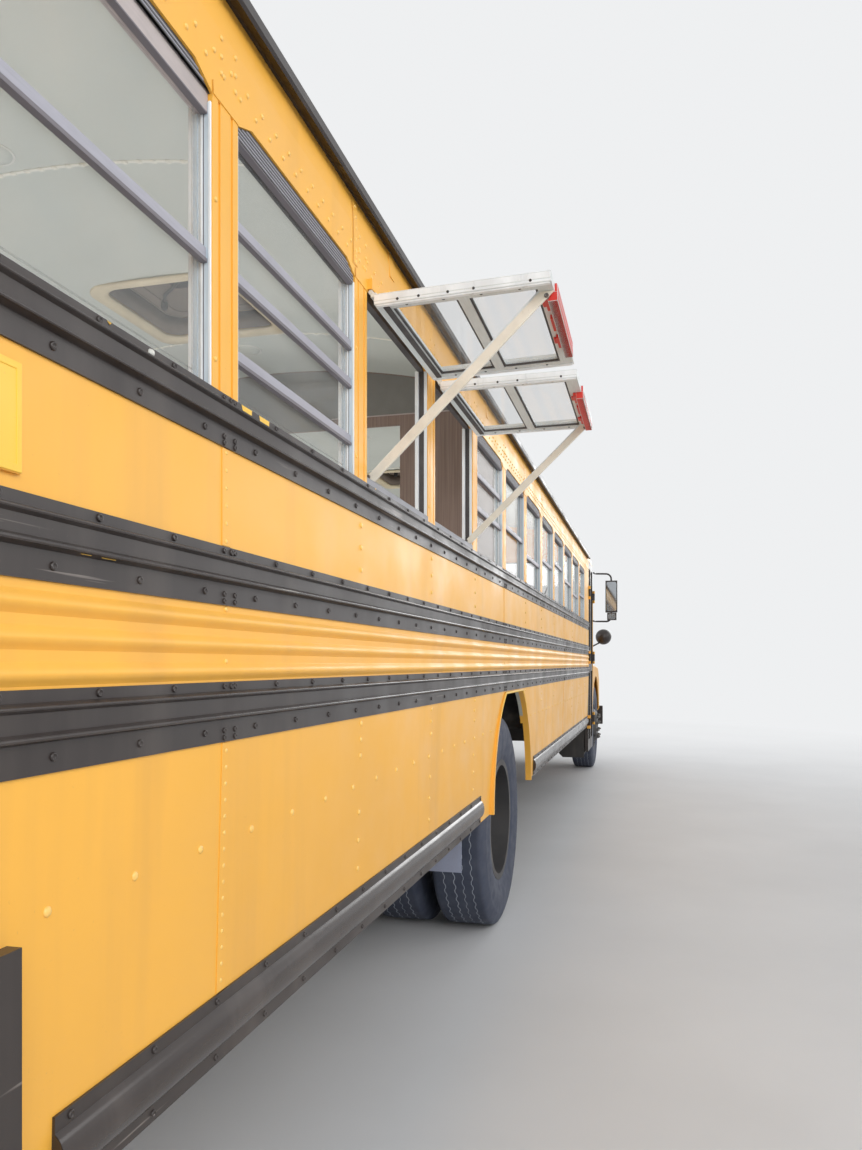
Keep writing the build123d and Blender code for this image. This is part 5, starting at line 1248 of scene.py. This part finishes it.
# Rear lamps: warning lamps at the top, the inner ones amber, with tail and turn lamps below.
# Each has its distance from the middle, its height and its radius.
bezels, lenses, ambers = Shape(), Shape(), Shape()
REAR_LAMPS = (
    (0.60, 2.64, 0.085, ambers),
    (0.83, 2.64, 0.085, lenses),
    (1.02, 1.44, 0.09, lenses),
    (1.02, 1.64, 0.06, lenses),
)
for (y, z, r, lamp), side in product(REAR_LAMPS, BOTH):
    spot = (at(-0.032), side * y, z)
    wide, narrow = r + 0.012, r - 0.006
    bezel = [(wide, 0.0315), (wide, 0.012), (r + 0.004, -0.002), (narrow, -0.002), (narrow, 0.01)]
    dome = [(r - 0.004, 0.002), (r - 0.01, -0.008), (r * 0.5, -0.016), (r * 0.1, -0.018)]
    bezels.turned(bezel, spot, FORWARD, 40)
    lamp.turned(dome, spot, FORWARD, 40)
bezels.done("rear_lamp_bezels", black_paint, slot="trim_black")
lenses.done("rear_lamp_lenses", red_lens, slot="lamp_red")
ambers.done("rear_amber_lenses", amber_lens)

# Inner warning lamps of the brow are amber, the outer ones red, each in a black ring
BROW_RING = [(0.0975, -0.022), (0.0975, 0.002), (0.089, 0.012), (0.079, 0.012), (0.079, -0.001)]
for offset, material in ((0.56, amber_lens), (0.80, red_lens)):
    lamp, rings = Shape(), Shape()
    for side in BOTH:
        spot = (at(9.6496), side * offset, 2.66)
        lamp.turned([(0.081, -0.002), (0.075, 0.008), (0.042, 0.016), (0.008, 0.018)], spot, FORWARD, 40)
        rings.turned(BROW_RING, spot, FORWARD, 40)
    lamp.done(f"brow_lenses_{offset:.2f}", material)
    rings.done(f"brow_rings_{offset:.2f}", black_paint)

# Bolts beside the rear door, rivet columns on the rear wall, and bolts of the rear bumper
rear = Shape()
for y, z in product((-0.35, 0.35), (1.08, 1.62, 2.52)):
    rear.bolt((at(0.002), y, z), BACKWARD, 0.008, 0.004)
for side, z, y in product(BOTH, spread(1.06, 2.425, 13), (0.54, 1.14)):
    rear.dome((at(0.0), side * y, z), BACKWARD, *RIVET)
rear.done("rear_rivets", yellow_paint, slot="body_yellow")
bumper_bolts = Shape()
for side, y, z in product(BOTH, (0.39, 0.75, 1.05), (0.76, 0.91)):
    bumper_bolts.bolt((at(-0.0725), side * y, z), BACKWARD, 0.014, 0.0025)
bumper_bolts.done("bumper_bolts", steel)

# Driver's seat
SEAT_Y = 0.56
CORNER_POWER = 7
CHANNEL_DEPTH = 0.16
CHANNEL_WIDTH = 0.035
PIPING_RADIUS = 0.0045


def pad(name, centre, half, axes, channels, piping_level):
    """Stuffed pad with crowned faces, sides that pull in between the corners, sewn channels and piping."""
    centre = Vector(centre)
    across, up, out = (Vector(axis) for axis in axes)
    steps = 30

    def place(x, y, z):
        """Point of the pad for a point on a cube from -1 to 1."""
        length = sum(abs(c) ** CORNER_POWER for c in (x, y, z)) ** (1 / CORNER_POWER)
        x, y, z = x / length, y / length, z / length
        side_pull = 1 - 0.055 * (1 - y * y)
        end_pull = 1 - 0.045 * (1 - x * x)
        crown = (1 - x**4) * (1 - y**4)
        rise = 0.6 + 0.4 * crown if z > 0 else 0.82 + 0.18 * crown
        if z > 0:
            depth = CHANNEL_DEPTH * max(0.0, 1 - abs(x) ** 6)
            rise -= depth * sum(math.exp(-(((y - channel) / CHANNEL_WIDTH) ** 2)) for channel in channels)
        wrinkle = 0.004 * math.sin(17 * x + 5 * y) * math.sin(13 * y - 3 * x) * (x * x * y * y)
        spot = centre + across * (half[0] * x * side_pull) + up * (half[1] * y * end_pull)
        return spot + out * (half[2] * z * rise + wrinkle)

    # Faces of a cube's grid, with each shared corner counted once
    spots = {}
    faces = []
    for axis, sign, i, j in product(range(3), BOTH, range(steps), range(steps)):
        face = []
        for di, dj in ((0, 0), (1, 0), (1, 1), (0, 1)):
            corner = [0.0, 0.0, 0.0]
            corner[axis] = sign
            corner[(axis + 1) % 3] = round(2 * (i + di) / steps - 1, 6)
            corner[(axis + 2) % 3] = round(2 * (j + dj) / steps - 1, 6)
            face.append(spots.setdefault(tuple(corner), len(spots)))
        faces.append(face)
    shape = Shape()
    shape.add([place(*spot) for spot in spots], faces, True)
    ring = []
    corners = ((1, -1), (1, 1), (-1, 1), (-1, -1))
    for (x0, y0), (x1, y1) in zip(corners, corners[1:] + corners[:1]):
        for t in spread(0, 1, 24)[:-1]:
            ring.append(place(x0 + (x1 - x0) * t, y0 + (y1 - y0) * t, piping_level))
    rings = []
    for i, point in enumerate(ring):
        tangent = (ring[(i + 1) % len(ring)] - ring[i - 1]).normalized()
        inner = out.cross(tangent).normalized()
        rings.append([point + (inner * c + out * s) * PIPING_RADIUS for c, s in circle(8)])
    shape.rings(rings, closed=True)
    piece = shape.done(name, seat_cover, slot="seat_cover")
    modifier = piece.modifiers.new("smooth", "SUBSURF")
    modifier.levels = modifier.render_levels = 1
    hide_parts("driver_seat")


lying = ((0, 1, 0), (1, 0, 0), (0, 0, 1))
upright = ((0, 1, 0), (0, 0, 1), (1, 0, 0))
cushion_half, backrest_half = (0.225, 0.236, 0.0575), (0.228, 0.298, 0.0545)
pad("driver_cushion", (at(9.225), SEAT_Y, 1.39), cushion_half, lying, (-0.45, 0.0, 0.45), 0.35)
pad("driver_backrest", (at(8.9795), SEAT_Y, 1.772), backrest_half, upright, (-0.6, -0.2, 0.2, 0.6), 0.3)

# Base under the cushion: a foot, bellows and a head, as width, corner radius and height
base = Shape()
levels = [(0.30, 0.02, 1.031), (0.30, 0.02, 1.05)]
for z in spread(1.06, 1.272, 8):
    levels += [(0.272, 0.03, z), (0.252, 0.03, z + 0.013)]
levels += [(0.30, 0.02, 1.302), (0.30, 0.02, 1.328)]
middle = (at(9.19), SEAT_Y)
base.rings([[(x, y, z) for x, y in rounded(width, width, radius, 6, middle)] for width, radius, z in levels])
piece = base.done("driver_seat_base", dash_plastic)
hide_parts("driver_seat")

# Pan under the cushion, with two arms that carry the backrest
PAN_REAR = at(8.955)
PAN_BOTTOM = 1.324
carrier = Shape()
carrier.box((PAN_REAR, SEAT_Y - 0.2, PAN_BOTTOM), (at(9.42), SEAT_Y + 0.2, PAN_BOTTOM + 0.01))
for side in BOTH:
    arm_y = SEAT_Y + side * 0.12
    carrier.box((PAN_REAR, arm_y - 0.025, PAN_BOTTOM), (PAN_REAR + 0.017, arm_y + 0.025, 1.6))
carrier.done("driver_seat_frame", chassis_paint, bevel=0.003)

# White border on both faces of the stop arm
stop = Shape()
arm_x, arm_y, arm_z = at(8.58), HALF_WIDTH + 0.045, 1.61
outer, inner = ([(arm_x + r * c, arm_z + r * s) for c, s in circle(8, 0.5)] for r in (0.222, 0.207))
for way in BOTH:
    stop.frame(outer, inner, "y", arm_y + way * 0.0038, arm_y + way * 0.0046)
stop.done("stop_arm_border", white_paint, "stop_arm")

# Stage: a pale floor that turns into the backdrop with distance, as on a studio's curved wall
BACKDROP = (0.86, 0.87, 0.88)
mesh = bpy.data.meshes.new("floor")
mesh.from_pydata([(-60, -60, 0), (60, -60, 0), (60, 60, 0), (-60, 60, 0)], [], [(0, 1, 2, 3)])
floor = bpy.data.objects.new("floor", mesh)
bpy.context.scene.collection.objects.link(floor)
ground = Graph("pale_floor")
shade = ground.mix(ground.span(ground.noise(0.8, 5), 0.3, 0.7, 0, 1), (0.66, 0.66, 0.66), (0.72, 0.72, 0.72))
ground.surface({"Base Color": shade, "Roughness": 0.7})
reach = ground.node("VectorMath", {0: ground.stretch((0.6, 1, 1))}, operation="LENGTH").outputs["Value"]
fade = ground.times(ground.span(reach, 3.2, 9.0, 0.0, 1.0), ground.seen_ray())
glow = ground.node("Emission", {"Color": BACKDROP})
blend = ground.node("MixShader", {0: fade, 1: ground.shader.outputs[0], 2: glow.outputs[0]})
ground.feed(ground.output.inputs["Surface"], blend.outputs[0])
floor.data.materials.append(ground.material)
floor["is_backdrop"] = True

# World: cool even light, with the backdrop for what is seen behind the bus
world = bpy.data.worlds.new("studio")
bpy.context.scene.world = world
studio = Nodes(world)
even_light = studio.node("Background", {"Color": (0.93, 0.96, 1.0), "Strength": 0.5})
backdrop = studio.node("Background", {"Color": BACKDROP, "Strength": 1.0})
mixer = studio.node("MixShader", {0: studio.seen_ray(), 1: even_light.outputs[0], 2: backdrop.outputs[0]})
studio.node("OutputWorld", {"Surface": mixer.outputs[0]})


def area_light(name, place, target, size, power):
    data = bpy.data.lights.new(name, "AREA")
    data.shape = "RECTANGLE"
    data.size, data.size_y = size
    data.energy = power
    light = bpy.data.objects.new(name, data)
    light.location = place
    light.rotation_mode = "QUATERNION"
    light.rotation_quaternion = (Vector(target) - Vector(place)).to_track_quat("-Z", "Y")
    bpy.context.scene.collection.objects.link(light)
    return light


area_light("key", (-10.0, -6.5, 4.8), (-4.6, -1.2, 1.4), (6, 5), 430)
area_light("side_fill", (1.0, -12.0, 6.0), (0.0, 0.0, 1.2), (14, 4), 290)
area_light("far_side", (0.0, 12.0, 7.0), (0.0, 0.0, 1.2), (14, 4), 420)
for number, station in enumerate((0.9, 2.6, 5.2, 7.4)):
    inside = area_light(f"cabin_{number}", (at(station), 0.0, 1.25), (at(station), 0.0, 3.0), (1.2, 1.8), 15)
    inside.visible_camera = False
    inside.visible_glossy = False
    inside.visible_transmission = False
area_light("front_fill", (13.0, -3.0, 5.0), (4.0, 0.0, 1.2), (6, 4), 260)

# Camera from the photograph, in its pixels: focal length, and the point where lines
# along the bus meet. Upright lines stay upright, so the frame is raised over the axis.
PHOTO_WIDTH, PHOTO_HEIGHT = 862, 1150
FOCAL = 869.0
ALONG_POINT = (656.0, 664.0)
CAMERA_HEIGHT = 1.327
CAMERA_OUTBOARD = 0.707
CAMERA_BEHIND = 0.517

camera_data = bpy.data.cameras.new("camera")
camera_data.sensor_width = 36.0
camera_data.lens = FOCAL / PHOTO_HEIGHT * camera_data.sensor_width
camera_data.shift_y = (ALONG_POINT[1] - PHOTO_HEIGHT / 2) / PHOTO_HEIGHT
camera_data.clip_start = 0.05
camera_data.clip_end = 400
camera = bpy.data.objects.new("camera", camera_data)
yaw = math.atan2(ALONG_POINT[0] - PHOTO_WIDTH / 2, FOCAL)
camera.rotation_euler = (math.pi / 2, 0, yaw - math.pi / 2)
camera.location = (at(0) - CAMERA_BEHIND, -(HALF_WIDTH + CAMERA_OUTBOARD), CAMERA_HEIGHT)
bpy.context.scene.collection.objects.link(camera)
bpy.context.scene.camera = camera
bpy.context.scene.view_settings.view_transform = "Standard"

low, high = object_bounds()
{"cad": [list(cad_low), list(cad_high)], "visual": [list(low), list(high)]}
